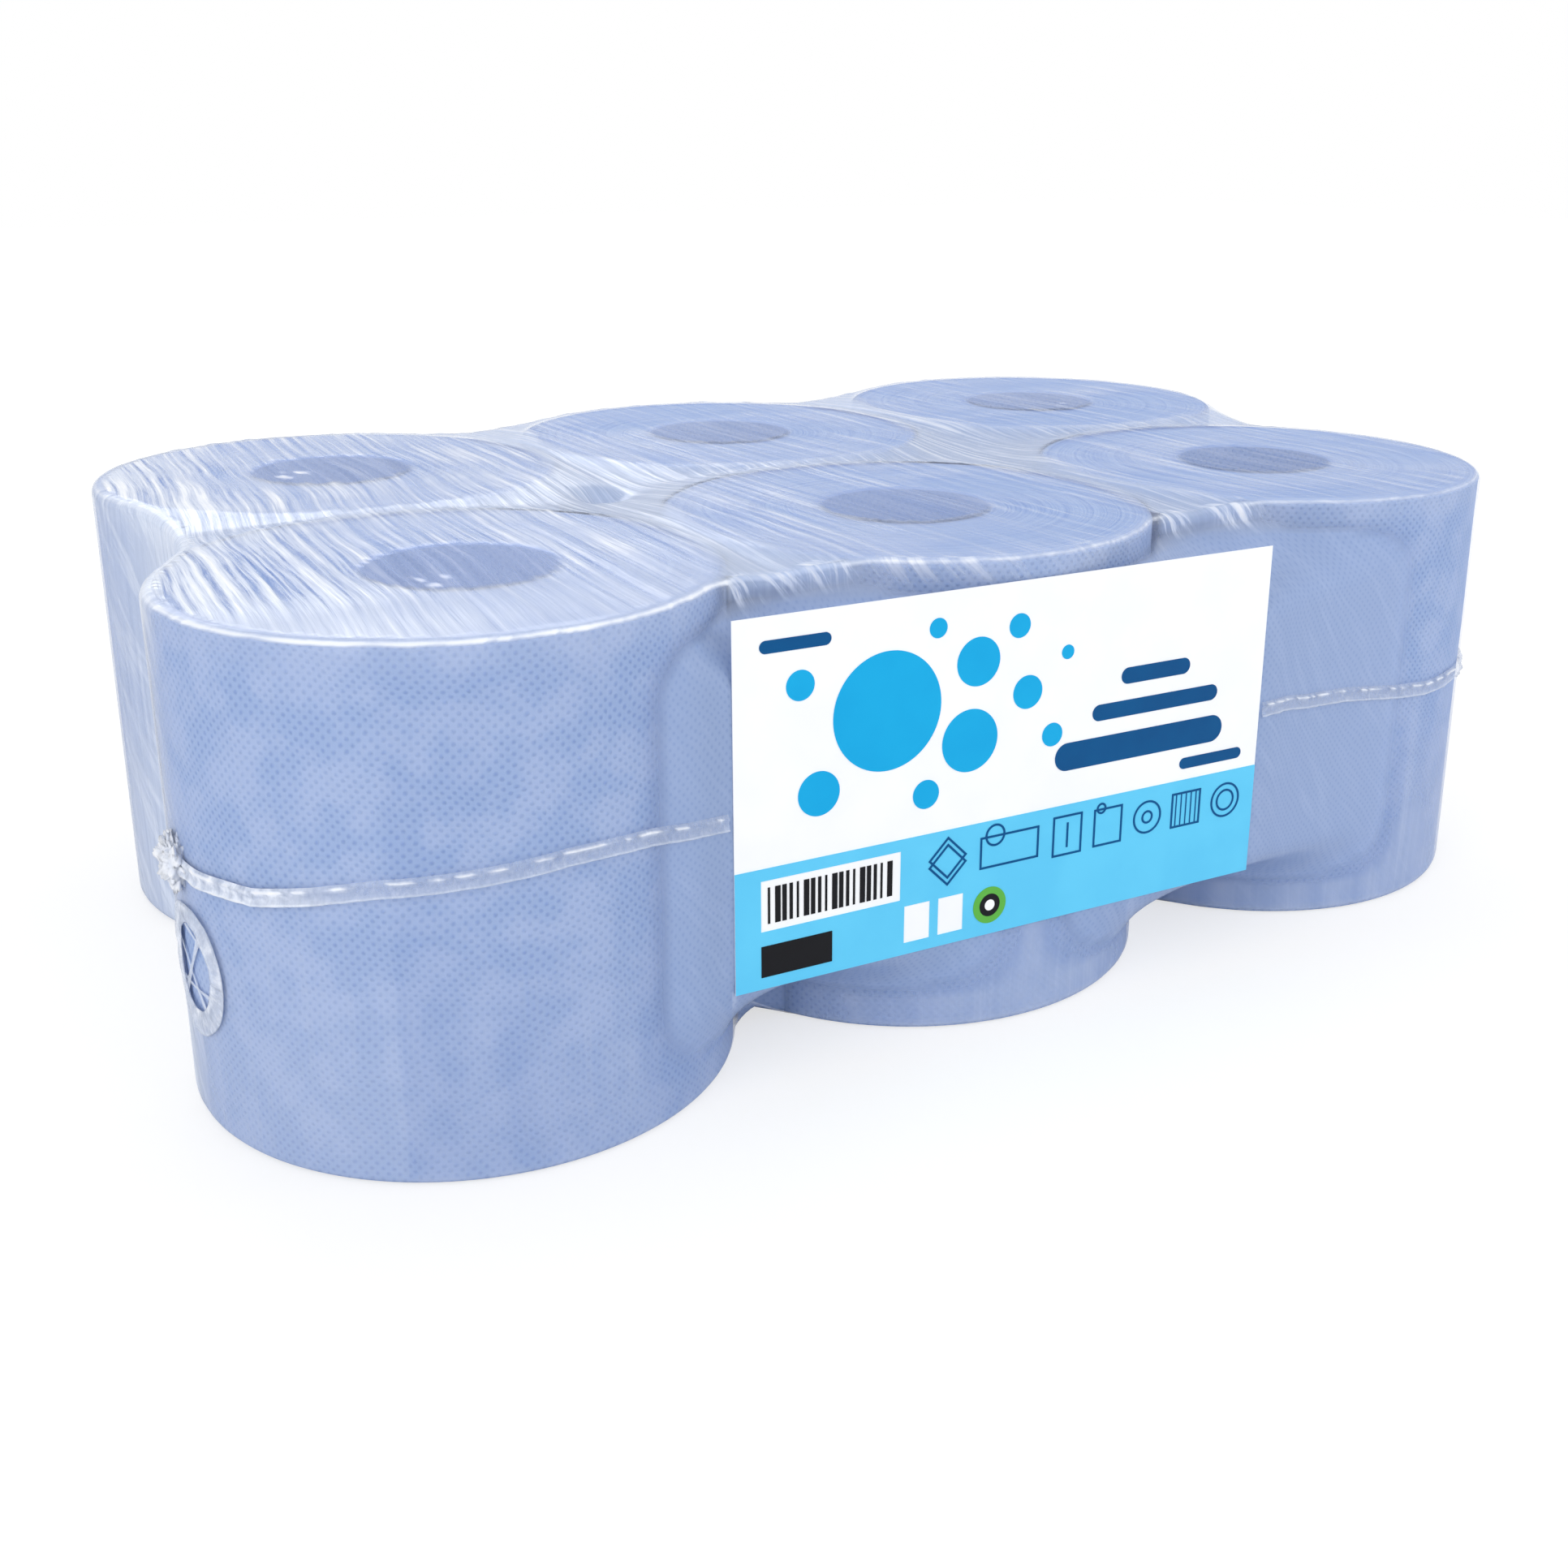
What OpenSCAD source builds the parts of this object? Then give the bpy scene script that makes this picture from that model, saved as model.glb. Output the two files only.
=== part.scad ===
// Pack of six blue paper rolls in clear shrink film, with a printed label.
// Millimetres, +Z up. The origin is the middle of the pack's underside, on the floor.
// +X runs along the two rows of three rolls, and -Y is the labelled front.

/* [Rolls] */
// Outside diameter of one roll
roll_d = 215; // [200:1:260]
// Height of one roll, which is the width of its sheet
roll_h = 200; // [180:1:280]
// Diameter of the bore; a roll is wound without a core
bore_d = 73; // [40:1:90]
// How far the bore of the front left roll lies off the roll's axis, towards the middle of the pack
bore_shift = 7; // [0:0.5:10]
// Radius of the soft outer edges of a roll
roll_edge_r = 4; // [2:0.5:8]
// How many rings of turns show on each end of a roll
turn_rings = 6; // [3:1:10]
// Depth of the rings between the turns
ring_depth = 0.4; // [0.2:0.1:1]

/* [Pack] */
// Gap between neighbouring rolls
roll_gap = 0.4; // [0.3:0.1:3]
// How far the back row is shifted along the front row
row_shift = 30; // [0:1:60]

/* [Film] */
// Thickness that stands for the film and its small folds
film_t = 0.5; // [0.4:0.1:1]
// Gap between the film and the sides and tops of the rolls
film_gap = 0.3; // [0.2:0.1:1]
// How far the film sinks on top, between the rolls
top_dip = 4; // [1:0.5:8]
// How far the film is drawn in above and below a valley between two rolls
valley_dip = 7; // [2:0.5:15]
// Radius of the film in a valley along the front or the back
valley_r = 18; // [8:1:40]
// Radius of the film where it is stretched over an end of the pack
end_r = 150; // [60:5:250]
// How many creases run across the film on top of each roll
creases = 4; // [2:1:6]
// Height of a crease
crease_h = 0.7; // [0.3:0.1:1.5]

/* [Weld seam] */
// Height of the middle of the weld seam above the floor
seam_z = 106; // [100:1:130]
// Width of the seam
seam_w = 3; // [2:0.5:6]
// How far the seam stands out of the film
seam_proud = 1.2; // [0.6:0.1:3]
// Radius of the crumpled knot at each end of the seam
knot_r = 6; // [3:0.5:9]

/* [Vent hole] */
// Diameter of the vent hole in the left end of the film
vent_d = 40; // [15:1:50]
// Height of its centre above the floor
vent_z = 65; // [50:1:70]
// How far its centre lies in front of the roll's axis
vent_front = 7; // [0:1:20]
// Width of the thick rolled rim round the hole
vent_rim_w = 5; // [2:0.5:8]
// How far the rim stands out of the film
vent_rim_proud = 1; // [0.5:0.1:3]

/* [Label] */
// Width of the label
label_w = 255; // [180:5:275]
// Height of the label
label_h = 148; // [140:1:160]
// Thickness of the label
label_t = 0.4; // [0.2:0.1:1]
// How far the label's middle lies to the left of the middle roll
label_left = 20; // [0:1:30]
// How far the label's top edge lies below the top of the rolls
label_drop = 8.5; // [7:0.5:20]
// How many degrees the label's right end stands out from the row
label_yaw = 4; // [0:0.5:5]
// Margin of flat film round the label
label_margin = 3; // [1:0.5:5]
// Height of the coloured band along the label's foot
band_h = 50; // [48:1:60]
// Thickness of the printed fields
print_t = 0.2; // [0.1:0.1:0.5]
// Width of the printed outlines
outline_w = 0.9; // [0.5:0.1:1.5]

/* [Hidden] */
$fn = 96;

paper_blue = [0.62, 0.71, 0.88];
clear_film = [0.82, 0.88, 0.97, 0.35];
sky_blue = [0.40, 0.80, 0.96];
bright_blue = [0.07, 0.67, 0.89];
navy = [0.0, 0.33, 0.55];

// Two rows of three rolls
rolls_in_row = 3;
FRONT = 0;
BACK = 1;

roll_r = roll_d / 2;
// Axis to axis between two rolls that stand side by side
pitch = roll_d + roll_gap;
// Distance between the rows, whose rolls stand in each other's valleys
row_pitch = sqrt(pitch * pitch - row_shift * row_shift);
last = rolls_in_row - 1;
// The rolls rest on the film's inner face
floor_z = film_t;
// A length that reaches past the pack on any side
past_pack = (rolls_in_row + 1) * roll_d;
// A depth that buries one part of the film in another
bury = film_t / 2;

// Axis of one roll, with the middle of the pack at the origin
function roll_xy(i, row) = [
    (i - last / 2) * pitch + (row - 0.5) * row_shift,
    (row - 0.5) * row_pitch
];

front_row = [for (i = [0 : last]) roll_xy(i, FRONT)];
back_row = [for (i = [0 : last]) roll_xy(i, BACK)];
all_rolls = concat(front_row, back_row);

// Faces of the film: skin is 0 at its inner face and film_t at its outer face
function skin_r(skin) = roll_r + film_gap + skin;
function skin_bottom(skin) = floor_z - skin;
function skin_top(skin) = floor_z + roll_h + film_gap + skin;

// Half section of a disc with soft outer edges, to be turned round its axis
module soft_section(outer_r, low_z, high_z, edge_r) {
    translate([0, low_z])
        square([outer_r - edge_r, high_z - low_z]);
    translate([0, low_z + edge_r])
        square([outer_r, high_z - low_z - 2 * edge_r]);
    for (z = [low_z + edge_r, high_z - edge_r])
        translate([outer_r - edge_r, z])
            circle(r = edge_r);
}

// A ring-shaped groove of square section, on edge, that parts two turns
module turn_groove(ring_r) {
    rotate_extrude()
        translate([ring_r, 0])
            rotate(45)
                square(ring_depth * sqrt(2), center = true);
}

// One wound roll: its turns are one solid, and rings of turns show on both ends
module paper_roll(axis_xy, bore_off = [0, 0]) {
    ring_step = (roll_r - bore_d / 2) / (turn_rings + 1);
    color(paper_blue)
        translate([axis_xy.x, axis_xy.y, floor_z])
            difference() {
                rotate_extrude()
                    soft_section(roll_r, 0, roll_h, roll_edge_r);
                translate([bore_off.x, bore_off.y, -1])
                    cylinder(d = bore_d, h = roll_h + 2);
                for (ring = [1 : turn_rings], end_z = [0, roll_h])
                    translate(concat(bore_off * (1 - ring / (turn_rings + 1)), end_z))
                        turn_groove(bore_d / 2 + ring * ring_step);
            }
}

// Centre of the circle that touches two neighbouring wrapped rolls from outside
function valley_centre(a, b, radius) =
    let (
        along = b - a,
        out = [along.y, -along.x] / norm(along),
        reach = sqrt(pow(skin_r(0) + radius, 2) - pow(norm(along) / 2, 2))
    )
    (a + b) / 2 + out * reach;

// One valley between two rolls, with the film curving through it
module valley(a, b, radius, skin) {
    centre = valley_centre(a, b, radius);
    difference() {
        polygon([a, centre, b]);
        translate(centre)
            circle(r = radius - skin);
    }
}

// Valleys along the front and the back, in plan
module side_valleys(skin) {
    for (i = [0 : last - 1]) {
        valley(front_row[i], front_row[i + 1], valley_r, skin);
        valley(back_row[i + 1], back_row[i], valley_r, skin);
    }
}

// Film stretched over the two ends, in plan
module end_valleys(skin) {
    valley(back_row[0], front_row[0], end_r, skin);
    valley(front_row[last], back_row[last], end_r, skin);
}

// The area between the roll axes, in plan
module core_plan() {
    polygon([front_row[0], front_row[last], back_row[last], back_row[0]]);
}

// Places things at the label: x to the right, y into the pack, z up, from the label's middle
label_z = floor_z + roll_h - label_drop - label_h / 2;
label_x = front_row[1].x - label_left;
// The label's back face clears the middle roll's film by this much
label_seat = 0.1;
label_foot = front_row[1] - (skin_r(film_t) + label_seat) * [sin(label_yaw), cos(label_yaw)];
label_y = label_foot.y - (label_x - label_foot.x) * tan(label_yaw);

module at_label() {
    translate([label_x, label_y, label_z])
        rotate([0, 0, -label_yaw])
            children();
}

// A point in plan on the label's plane, across and behind its middle
function by_label(across, behind) =
    [label_x, label_y]
    + across * [cos(label_yaw), -sin(label_yaw)]
    + behind * [sin(label_yaw), cos(label_yaw)];

// Where a line from a point touches a circle; side is 1 or -1
function touch_point(from, centre, radius, side) =
    let (
        away = from - centre,
        bearing = atan2(away.y, away.x) + side * acos(min(1, radius / norm(away)))
    )
    centre + radius * [cos(bearing), sin(bearing)];

// Film that the label holds flat across the front valleys, in plan
module stretch_plan(skin) {
    half = label_w / 2 + label_margin;
    left_edge = by_label(-half, film_t - skin);
    right_edge = by_label(half, film_t - skin);
    polygon([
        front_row[0],
        touch_point(left_edge, front_row[0], skin_r(skin) - bury, -1),
        left_edge,
        right_edge,
        touch_point(right_edge, front_row[last], skin_r(skin) - bury, 1),
        front_row[last]
    ]);
}

// Film across the front valleys, sloping in above and below the label
module label_stretch(skin) {
    rim = label_margin + skin;
    out_y = label_y - label_w / 2 * sin(label_yaw);
    deep_y = front_row[0].y;
    intersection() {
        linear_extrude(skin_top(skin))
            stretch_plan(skin);
        translate([front_row[0].x - roll_r, 0, 0])
            rotate([90, 0, 90])
                linear_extrude(past_pack)
                    polygon([
                        [out_y - label_margin, label_z - label_h / 2 - rim],
                        [out_y - label_margin, label_z + label_h / 2 + rim],
                        [deep_y, skin_top(skin) - top_dip],
                        [deep_y, skin_bottom(skin) + valley_dip]
                    ]);
    }
}

// The wrapped pack as a solid, at one face of the film
module wrap(skin) {
    for (axis_xy = all_rolls)
        translate(axis_xy)
            rotate_extrude()
                soft_section(skin_r(skin), skin_bottom(skin), skin_top(skin), roll_edge_r + skin);
    translate([0, 0, skin_bottom(skin)])
        linear_extrude(skin_top(skin) - top_dip - skin_bottom(skin)) {
            core_plan();
            end_valleys(skin);
        }
    translate([0, 0, skin_bottom(skin) + valley_dip])
        linear_extrude(skin_top(skin) - skin_bottom(skin) - 2 * valley_dip)
            side_valleys(skin);
    label_stretch(skin);
}

// Weld seam round the front and the two ends, pressed flat where the label lies on it
module weld_seam() {
    proud = film_t + seam_proud;
    difference() {
        translate([0, 0, seam_z - seam_w / 2])
            linear_extrude(seam_w) {
                for (axis_xy = front_row)
                    translate(axis_xy)
                        circle(r = skin_r(proud));
                end_valleys(proud);
                stretch_plan(proud);
            }
        translate([-past_pack, front_row[0].y + knot_r, 0])
            cube([2 * past_pack, past_pack, roll_h]);
        at_label()
            translate([-label_w / 2, -past_pack, -label_h / 2])
                cube([label_w, past_pack, label_h]);
    }
}

// Lumps of a knot as shares of its radius: out of the end, along it, up, and size
knot_lumps = [[0, 0, 0, 1], [0.3, 0.9, 0.4, 0.7], [0.1, -0.9, -0.3, 0.8], [0.4, 0.1, 0.8, 0.6]];

// Crumpled knot of film at an end of the seam
module knot(axis_xy, side) {
    for (lump = knot_lumps)
        translate([
            axis_xy.x + side * (skin_r(film_t) + lump[0] * knot_r),
            axis_xy.y + lump[1] * knot_r,
            seam_z + lump[2] * knot_r
        ])
            sphere(r = lump[3] * knot_r);
}

// Bar along X through the left end of the film, centred on the vent hole
module vent_bar(diameter) {
    translate([front_row[0].x - past_pack, front_row[0].y - vent_front, vent_z])
        rotate([0, 90, 0])
            cylinder(d = diameter, h = past_pack);
}

// Thick rolled rim of the vent hole
module vent_rim() {
    proud = film_t + vent_rim_proud;
    intersection() {
        linear_extrude(seam_z) {
            translate(front_row[0])
                circle(r = skin_r(proud));
            valley(back_row[0], front_row[0], end_r, proud);
        }
        vent_bar(vent_d + 2 * vent_rim_w);
    }
}

// Creases of the film on top of one roll, which run from the front to the back
crease_lean = -8;
crease_turn = 6;
crease_reach = 0.7;

module top_creases(axis_xy) {
    flat_r = roll_r - roll_edge_r;
    step = 2 * flat_r / (creases + 1);
    for (i = [1 : creases]) {
        across = i * step - flat_r;
        length = 2 * crease_reach * sqrt(flat_r * flat_r - across * across);
        translate([axis_xy.x + across, axis_xy.y, skin_top(film_t) - bury])
            rotate([90, 0, crease_turn * (i % 3) + crease_lean])
                linear_extrude(length, center = true)
                    polygon([[-2 * crease_h, 0], [2 * crease_h, 0], [0, crease_h + bury]]);
    }
}

module shrink_film() {
    color(clear_film)
        difference() {
            union() {
                wrap(film_t);
                weld_seam();
                knot(front_row[0], -1);
                knot(front_row[last], 1);
                vent_rim();
                for (axis_xy = all_rolls)
                    top_creases(axis_xy);
            }
            wrap(0);
            vent_bar(vent_d);
        }
}

// Raises a flat shape on the label: x to the right and y up, from its lower left corner
module on_label(out, thickness) {
    at_label()
        translate([-label_w / 2, -out, -label_h / 2])
            rotate([90, 0, 0])
                linear_extrude(thickness)
                    children();
}

module label() {
    color("white")
        on_label(0, label_t)
            square([label_w, label_h]);
}

// Plain white panels in the band: x, y, width and height
panels = [[11, 24, 62, 21], [75, 5, 12, 16], [91, 5, 12, 16]];

module label_band() {
    color(sky_blue)
        on_label(label_t, print_t)
            difference() {
                square([label_w, band_h]);
                for (panel = panels)
                    translate([panel[0], panel[1]])
                        square([panel[2], panel[3]]);
            }
}

// A drift of bubbles on the white field: x and y from the field's foot, and radius
bubbles = [
    [66, 54, 24], [104, 36, 13], [107, 68, 10], [131, 52, 7], [36, 26, 9],
    [84, 17, 6], [126, 80, 5], [144, 32, 5], [28, 70, 6], [88, 84, 4], [150, 66, 3]
];

module label_discs() {
    color(bright_blue)
        on_label(label_t, print_t)
            translate([0, band_h])
                for (bubble = bubbles)
                    translate([bubble[0], bubble[1]])
                        circle(r = bubble[2]);
}

// Bar with round ends
module round_bar(w, h) {
    for (x = [h / 2, w - h / 2])
        translate([x, h / 2])
            circle(d = h);
    translate([h / 2, 0])
        square([w - h, h]);
}

// Outlined box and outlined ring, both about their middle
module box_outline(w, h) {
    difference() {
        square([w, h], center = true);
        square([w - 2 * outline_w, h - 2 * outline_w], center = true);
    }
}

module ring_outline(r) {
    difference() {
        circle(r = r);
        circle(r = r - outline_w);
    }
}

// Plain bars in place of lines of print: x and y from the band's top, width and height
text_bars = [[178, 48, 36, 7], [164, 34, 66, 7], [146, 15, 88, 12], [212, 5, 34, 5], [11, 84, 30, 5]];
// Upright stripes on the largest panel
stripes = 18;

// Small outlined pictures in the band, about their middle line
sheet_side = 13;
sheet_lift = 3;
page_size = [15, 18];
page_fold = 11;
disc_r = [7.5, 3];
grid_side = 16;
grid_step = 2.7;
grid_line = 0.5;
pulp_r = [8, 5];

module sheet_sign() {
    for (lift = [0, sheet_lift])
        translate([0, lift])
            rotate(45)
                box_outline(sheet_side, sheet_side);
}

module roll_sign(w, h) {
    box_outline(w, h);
    translate([-w / 4, h / 2])
        ring_outline(w / 6);
}

module page_sign() {
    box_outline(page_size[0], page_size[1]);
    square([outline_w, page_fold], center = true);
}

module ring_sign(radii) {
    for (radius = radii)
        ring_outline(radius);
}

module grid_sign() {
    box_outline(grid_side, grid_side);
    for (i = [-2 : 2])
        translate([i * grid_step, 0])
            square([grid_line, grid_side - outline_w], center = true);
}

// Where the pictures stand along the band, and how far their middle line lies below its top
sign_x = [95, 125, 154, 175, 196, 217, 239];
sign_drop = 13.5;
wide_roll = [29, 14];
small_roll = [15, 17];

module label_signs() {
    translate([0, band_h - sign_drop]) {
        translate([sign_x[0], -sheet_lift / 2]) sheet_sign();
        translate([sign_x[1], 0]) roll_sign(wide_roll[0], wide_roll[1]);
        translate([sign_x[2], 0]) page_sign();
        translate([sign_x[3], 0]) roll_sign(small_roll[0], small_roll[1]);
        translate([sign_x[4], 0]) ring_sign(disc_r);
        translate([sign_x[5], 0]) grid_sign();
        translate([sign_x[6], 0]) ring_sign(pulp_r);
    }
}

module print_lines() {
    for (bar = text_bars)
        translate([bar[0], band_h + bar[1]])
            round_bar(bar[2], bar[3]);
}

// Upright stripes of different widths on the largest white panel
stripe_margin = 3;
stripe_share = [0.3, 0.45, 0.6, 0.75];

module panel_stripes() {
    step = (panels[0][2] - 2 * stripe_margin) / stripes;
    for (i = [0 : stripes - 1])
        translate([panels[0][0] + stripe_margin + i * step, panels[0][1] + stripe_margin])
            square([step * stripe_share[i * 7 % 4], panels[0][3] - 2 * stripe_margin]);
}

// A plain block and a plain disc at the foot of the band
block_h = 13;
spot = [116, 13];
spot_r = 8;

module foot_marks() {
    translate([panels[0][0], panels[1][1]])
        square([panels[0][2] / 2, block_h]);
    translate(spot)
        circle(r = spot_r);
}

module label_marks() {
    color(navy) {
        on_label(label_t, print_t) {
            print_lines();
            panel_stripes();
        }
        on_label(label_t + print_t, print_t) {
            foot_marks();
            label_signs();
        }
    }
}

middle_bore = [0, 0];
// The front left roll's bore is pressed off its axis towards this bearing, in plan
squeeze_bearing = -30;
squeezed_bore = bore_shift * [cos(squeeze_bearing), sin(squeeze_bearing)];

paper_roll(front_row[0], squeezed_bore);  // roll_front_left
paper_roll(front_row[1], middle_bore);  // roll_front_middle
paper_roll(front_row[last], middle_bore);  // roll_front_right
paper_roll(back_row[0], middle_bore);  // roll_back_left
paper_roll(back_row[1], middle_bore);  // roll_back_middle
paper_roll(back_row[last], middle_bore);  // roll_back_right
shrink_film();
label();
label_band();
label_discs();
label_marks();
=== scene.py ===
# %% [markdown]
# Six blue paper towel rolls, held together by clear shrink film with a printed label.
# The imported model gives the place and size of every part, and this script gives them their finish:
# embossed paper, thin wrinkled film with its weld seam and vent hole, and a smooth printed label.

# %% Load the frame
import math

import bpy
import numpy as np
from mathutils import Matrix, Vector
from mathutils.geometry import delaunay_2d_cdt


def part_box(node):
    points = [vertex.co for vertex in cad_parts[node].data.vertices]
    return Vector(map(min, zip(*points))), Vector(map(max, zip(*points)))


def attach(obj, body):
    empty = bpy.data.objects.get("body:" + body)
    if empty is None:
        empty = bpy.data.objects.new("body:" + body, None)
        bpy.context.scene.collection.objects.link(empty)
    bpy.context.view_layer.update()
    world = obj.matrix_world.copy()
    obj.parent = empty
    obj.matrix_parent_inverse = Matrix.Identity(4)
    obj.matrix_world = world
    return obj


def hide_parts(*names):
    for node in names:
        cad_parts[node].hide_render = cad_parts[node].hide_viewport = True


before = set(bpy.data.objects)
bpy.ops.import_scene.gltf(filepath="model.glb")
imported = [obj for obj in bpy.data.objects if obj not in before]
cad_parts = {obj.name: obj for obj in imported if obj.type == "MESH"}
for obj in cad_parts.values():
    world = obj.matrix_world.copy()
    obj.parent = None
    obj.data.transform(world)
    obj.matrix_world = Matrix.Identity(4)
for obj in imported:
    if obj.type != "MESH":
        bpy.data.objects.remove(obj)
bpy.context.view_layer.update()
print("nodes:", sorted(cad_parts))

# %% [markdown]
# Lengths are easiest to read in millimetres, and Blender works in metres, so one factor turns
# one into the other. The rolls' axes and the label's plane are measured on the frame, so that
# everything made later sits on the parts that carry it.

# %% Measure the frame
MM = 0.001


def node_points(name):
    """Corners of a node's mesh, in millimetres."""
    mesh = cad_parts[name].data
    points = np.empty(len(mesh.vertices) * 3)
    mesh.vertices.foreach_get("co", points)
    return points.reshape(-1, 3) / MM


def roll_axis(name):
    """Where a roll's axis stands, seen from above, in millimetres."""
    low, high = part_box(name)
    return np.array([(low.x + high.x) / 2, (low.y + high.y) / 2]) / MM


FRONT = ["roll_front_left", "roll_front_middle", "roll_front_right"]
BACK = ["roll_back_left", "roll_back_middle", "roll_back_right"]
axes = {name: roll_axis(name) for name in FRONT + BACK}
roll_low, roll_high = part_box(FRONT[0])
ROLL_R = (roll_high.x - roll_low.x) / 2 / MM
ROLL_BOTTOM = roll_low.z / MM
ROLL_TOP = roll_high.z / MM
film_low, film_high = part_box("shrink_film")
FILM_TOP = film_high.z / MM - 0.1
FILM_BOTTOM = film_low.z / MM + 0.1
FILM_R = ROLL_R + 0.7
print("roll radius", round(ROLL_R, 1), "mm, top at", round(ROLL_TOP, 1), "mm")

# %% [markdown]
# A photograph's view is set by the eye's place, the way it looks, and the lens. The eye stands to the
# left of the pack and a little above it, and the shift keeps the upright edges as they are while
# the pack moves within the picture.

# %% Set up the camera
EYE = (-476.2, -742.05, 361.6)
AZIMUTH = math.radians(33.41)
ELEVATION = math.radians(18.36)
TILT = math.radians(0.28)
LENS = 41.46
SHIFT = (-0.0259, -0.0414)


def aim(azimuth, elevation, tilt):
    """Rotation of a camera that looks along the given azimuth and down by the elevation."""
    level = math.cos(elevation)
    ahead = (math.sin(azimuth) * level, math.cos(azimuth) * level, -math.sin(elevation))
    right = np.array([math.cos(azimuth), -math.sin(azimuth), 0])
    up = np.cross(right, ahead)
    side = math.cos(tilt) * right + math.sin(tilt) * up
    top = math.cos(tilt) * up - math.sin(tilt) * right
    columns = np.array([side, top, -np.array(ahead)])
    return Matrix(columns.T.tolist()).to_4x4()


camera = bpy.data.objects.new("camera", bpy.data.cameras.new("camera"))
bpy.context.scene.collection.objects.link(camera)
camera.matrix_world = Matrix.Translation([MM * v for v in EYE]) @ aim(AZIMUTH, ELEVATION, TILT)
camera.data.lens = LENS
camera.data.shift_x, camera.data.shift_y = SHIFT
bpy.context.scene.camera = camera
print("camera at", EYE, "mm")

# %% [markdown]
# Every look below is a tree of shader nodes. One small class keeps those trees readable: each of
# its calls makes a node, feeds its sockets with a number or another node's output, and returns
# what comes out. An effect that several materials share is a group, made once with its own sockets.


# %% Helpers for node trees
class Wiring:
    """Short calls for the nodes of one tree; in a socket's name an underscore stands for a space."""

    def __init__(self, tree):
        self.tree = tree

    def feed(self, socket, value):
        if isinstance(value, bpy.types.NodeSocket):
            self.tree.links.new(value, socket)
        elif value is not None:
            socket.default_value = value

    def fill(self, node, **inputs):
        for label, value in inputs.items():
            self.feed(node.inputs[label.replace("_", " ")], value)
        return node

    def node(self, kind, **inputs):
        return self.fill(self.tree.nodes.new(kind), **inputs)

    def math(self, operation, a, b=None, clamp=False):
        node = self.node("ShaderNodeMath")
        node.operation = operation
        node.use_clamp = clamp
        self.feed(node.inputs[0], a)
        self.feed(node.inputs[1], b)
        return node.outputs[0]

    def times(self, a, b):
        return self.math("MULTIPLY", a, b)

    def plus(self, a, b, clamp=False):
        return self.math("ADD", a, b, clamp)

    def minus(self, a, b):
        return self.math("SUBTRACT", a, b)

    def ramp(self, value, low, high, to_low=0.0, to_high=1.0, smooth=True):
        node = self.node("ShaderNodeMapRange", Value=value, From_Min=low, From_Max=high)
        node.interpolation_type = "SMOOTHSTEP" if smooth else "LINEAR"
        return self.fill(node, To_Min=to_low, To_Max=to_high).outputs["Result"]

    def noise(self, vector, scale, detail=2.0, roughness=0.5):
        node = self.node("ShaderNodeTexNoise", Vector=vector, Scale=scale, Detail=detail)
        return self.fill(node, Roughness=roughness).outputs["Fac"]

    def split(self, vector):
        return self.node("ShaderNodeSeparateXYZ", Vector=vector).outputs

    def join(self, x, y, z=0.0):
        return self.node("ShaderNodeCombineXYZ", X=x, Y=y, Z=z).outputs[0]

    def blend(self, amount, first, second):
        node = self.node("ShaderNodeMix", Factor=amount)
        node.data_type = "RGBA"
        self.feed(node.inputs[6], first)
        self.feed(node.inputs[7], second)
        return node.outputs[2]

    def bump(self, height, strength, distance):
        node = self.node("ShaderNodeBump", Height=height, Strength=strength, Distance=distance)
        return node.outputs["Normal"]

    def place(self, group, **inputs):
        node = self.node("ShaderNodeGroup")
        node.node_tree = group
        return self.fill(node, **inputs).outputs

    def attribute(self, name):
        node = self.node("ShaderNodeAttribute")
        node.attribute_name = name
        return node.outputs["Fac"]

    def surface_mm(self):
        node = self.node("ShaderNodeUVMap")
        node.uv_map = "mm"
        return node.outputs["UV"]

    def on_object(self, operation):
        node = self.node("ShaderNodeVectorMath")
        node.operation = operation
        self.feed(node.inputs[0], self.node("ShaderNodeTexCoord").outputs["Object"])
        return node

    def object_mm(self):
        node = self.on_object("SCALE")
        node.inputs["Scale"].default_value = 1 / MM
        return node.outputs[0]


def new_group(name, inputs, outputs):
    """A shader group with its sockets; inputs are (name, kind, value) and outputs are names."""
    group = bpy.data.node_groups.new(name, "ShaderNodeTree")
    for label, kind, value in inputs:
        socket = group.interface.new_socket(name=label, in_out="INPUT", socket_type="NodeSocket" + kind)
        if value is not None:
            socket.default_value = value
    for label in outputs:
        group.interface.new_socket(name=label, in_out="OUTPUT", socket_type="NodeSocketFloat")
    given, made = group.nodes.new("NodeGroupInput"), group.nodes.new("NodeGroupOutput")
    return group, given.outputs, made.inputs, Wiring(group)


def srgb(red, green, blue):
    """A colour as read from a screen, 0 to 255, in the linear values that Blender works with."""
    def line(value):
        share = value / 255
        return share / 12.92 if share <= 0.04045 else ((share + 0.055) / 1.055) ** 2.4
    return (line(red), line(green), line(blue), 1.0)


def new_material(name):
    """A material, its Principled shader and the wiring of its tree."""
    material = bpy.data.materials.new(name)
    material.use_nodes = True
    return material, material.node_tree.nodes["Principled BSDF"], Wiring(material.node_tree)


# %% [markdown]
# Film shows itself by what it mirrors, so it needs a few bright panels against a calm surround.
# A large panel overhead and one on each side do that, at a level where a colour comes out as
# written. The front and right panels light the pack but aren't mirrored, because their images
# would hide the paper behind the film. The surround and the floor look white to the camera, and
# the floor keeps the pack's soft shadow.

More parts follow.
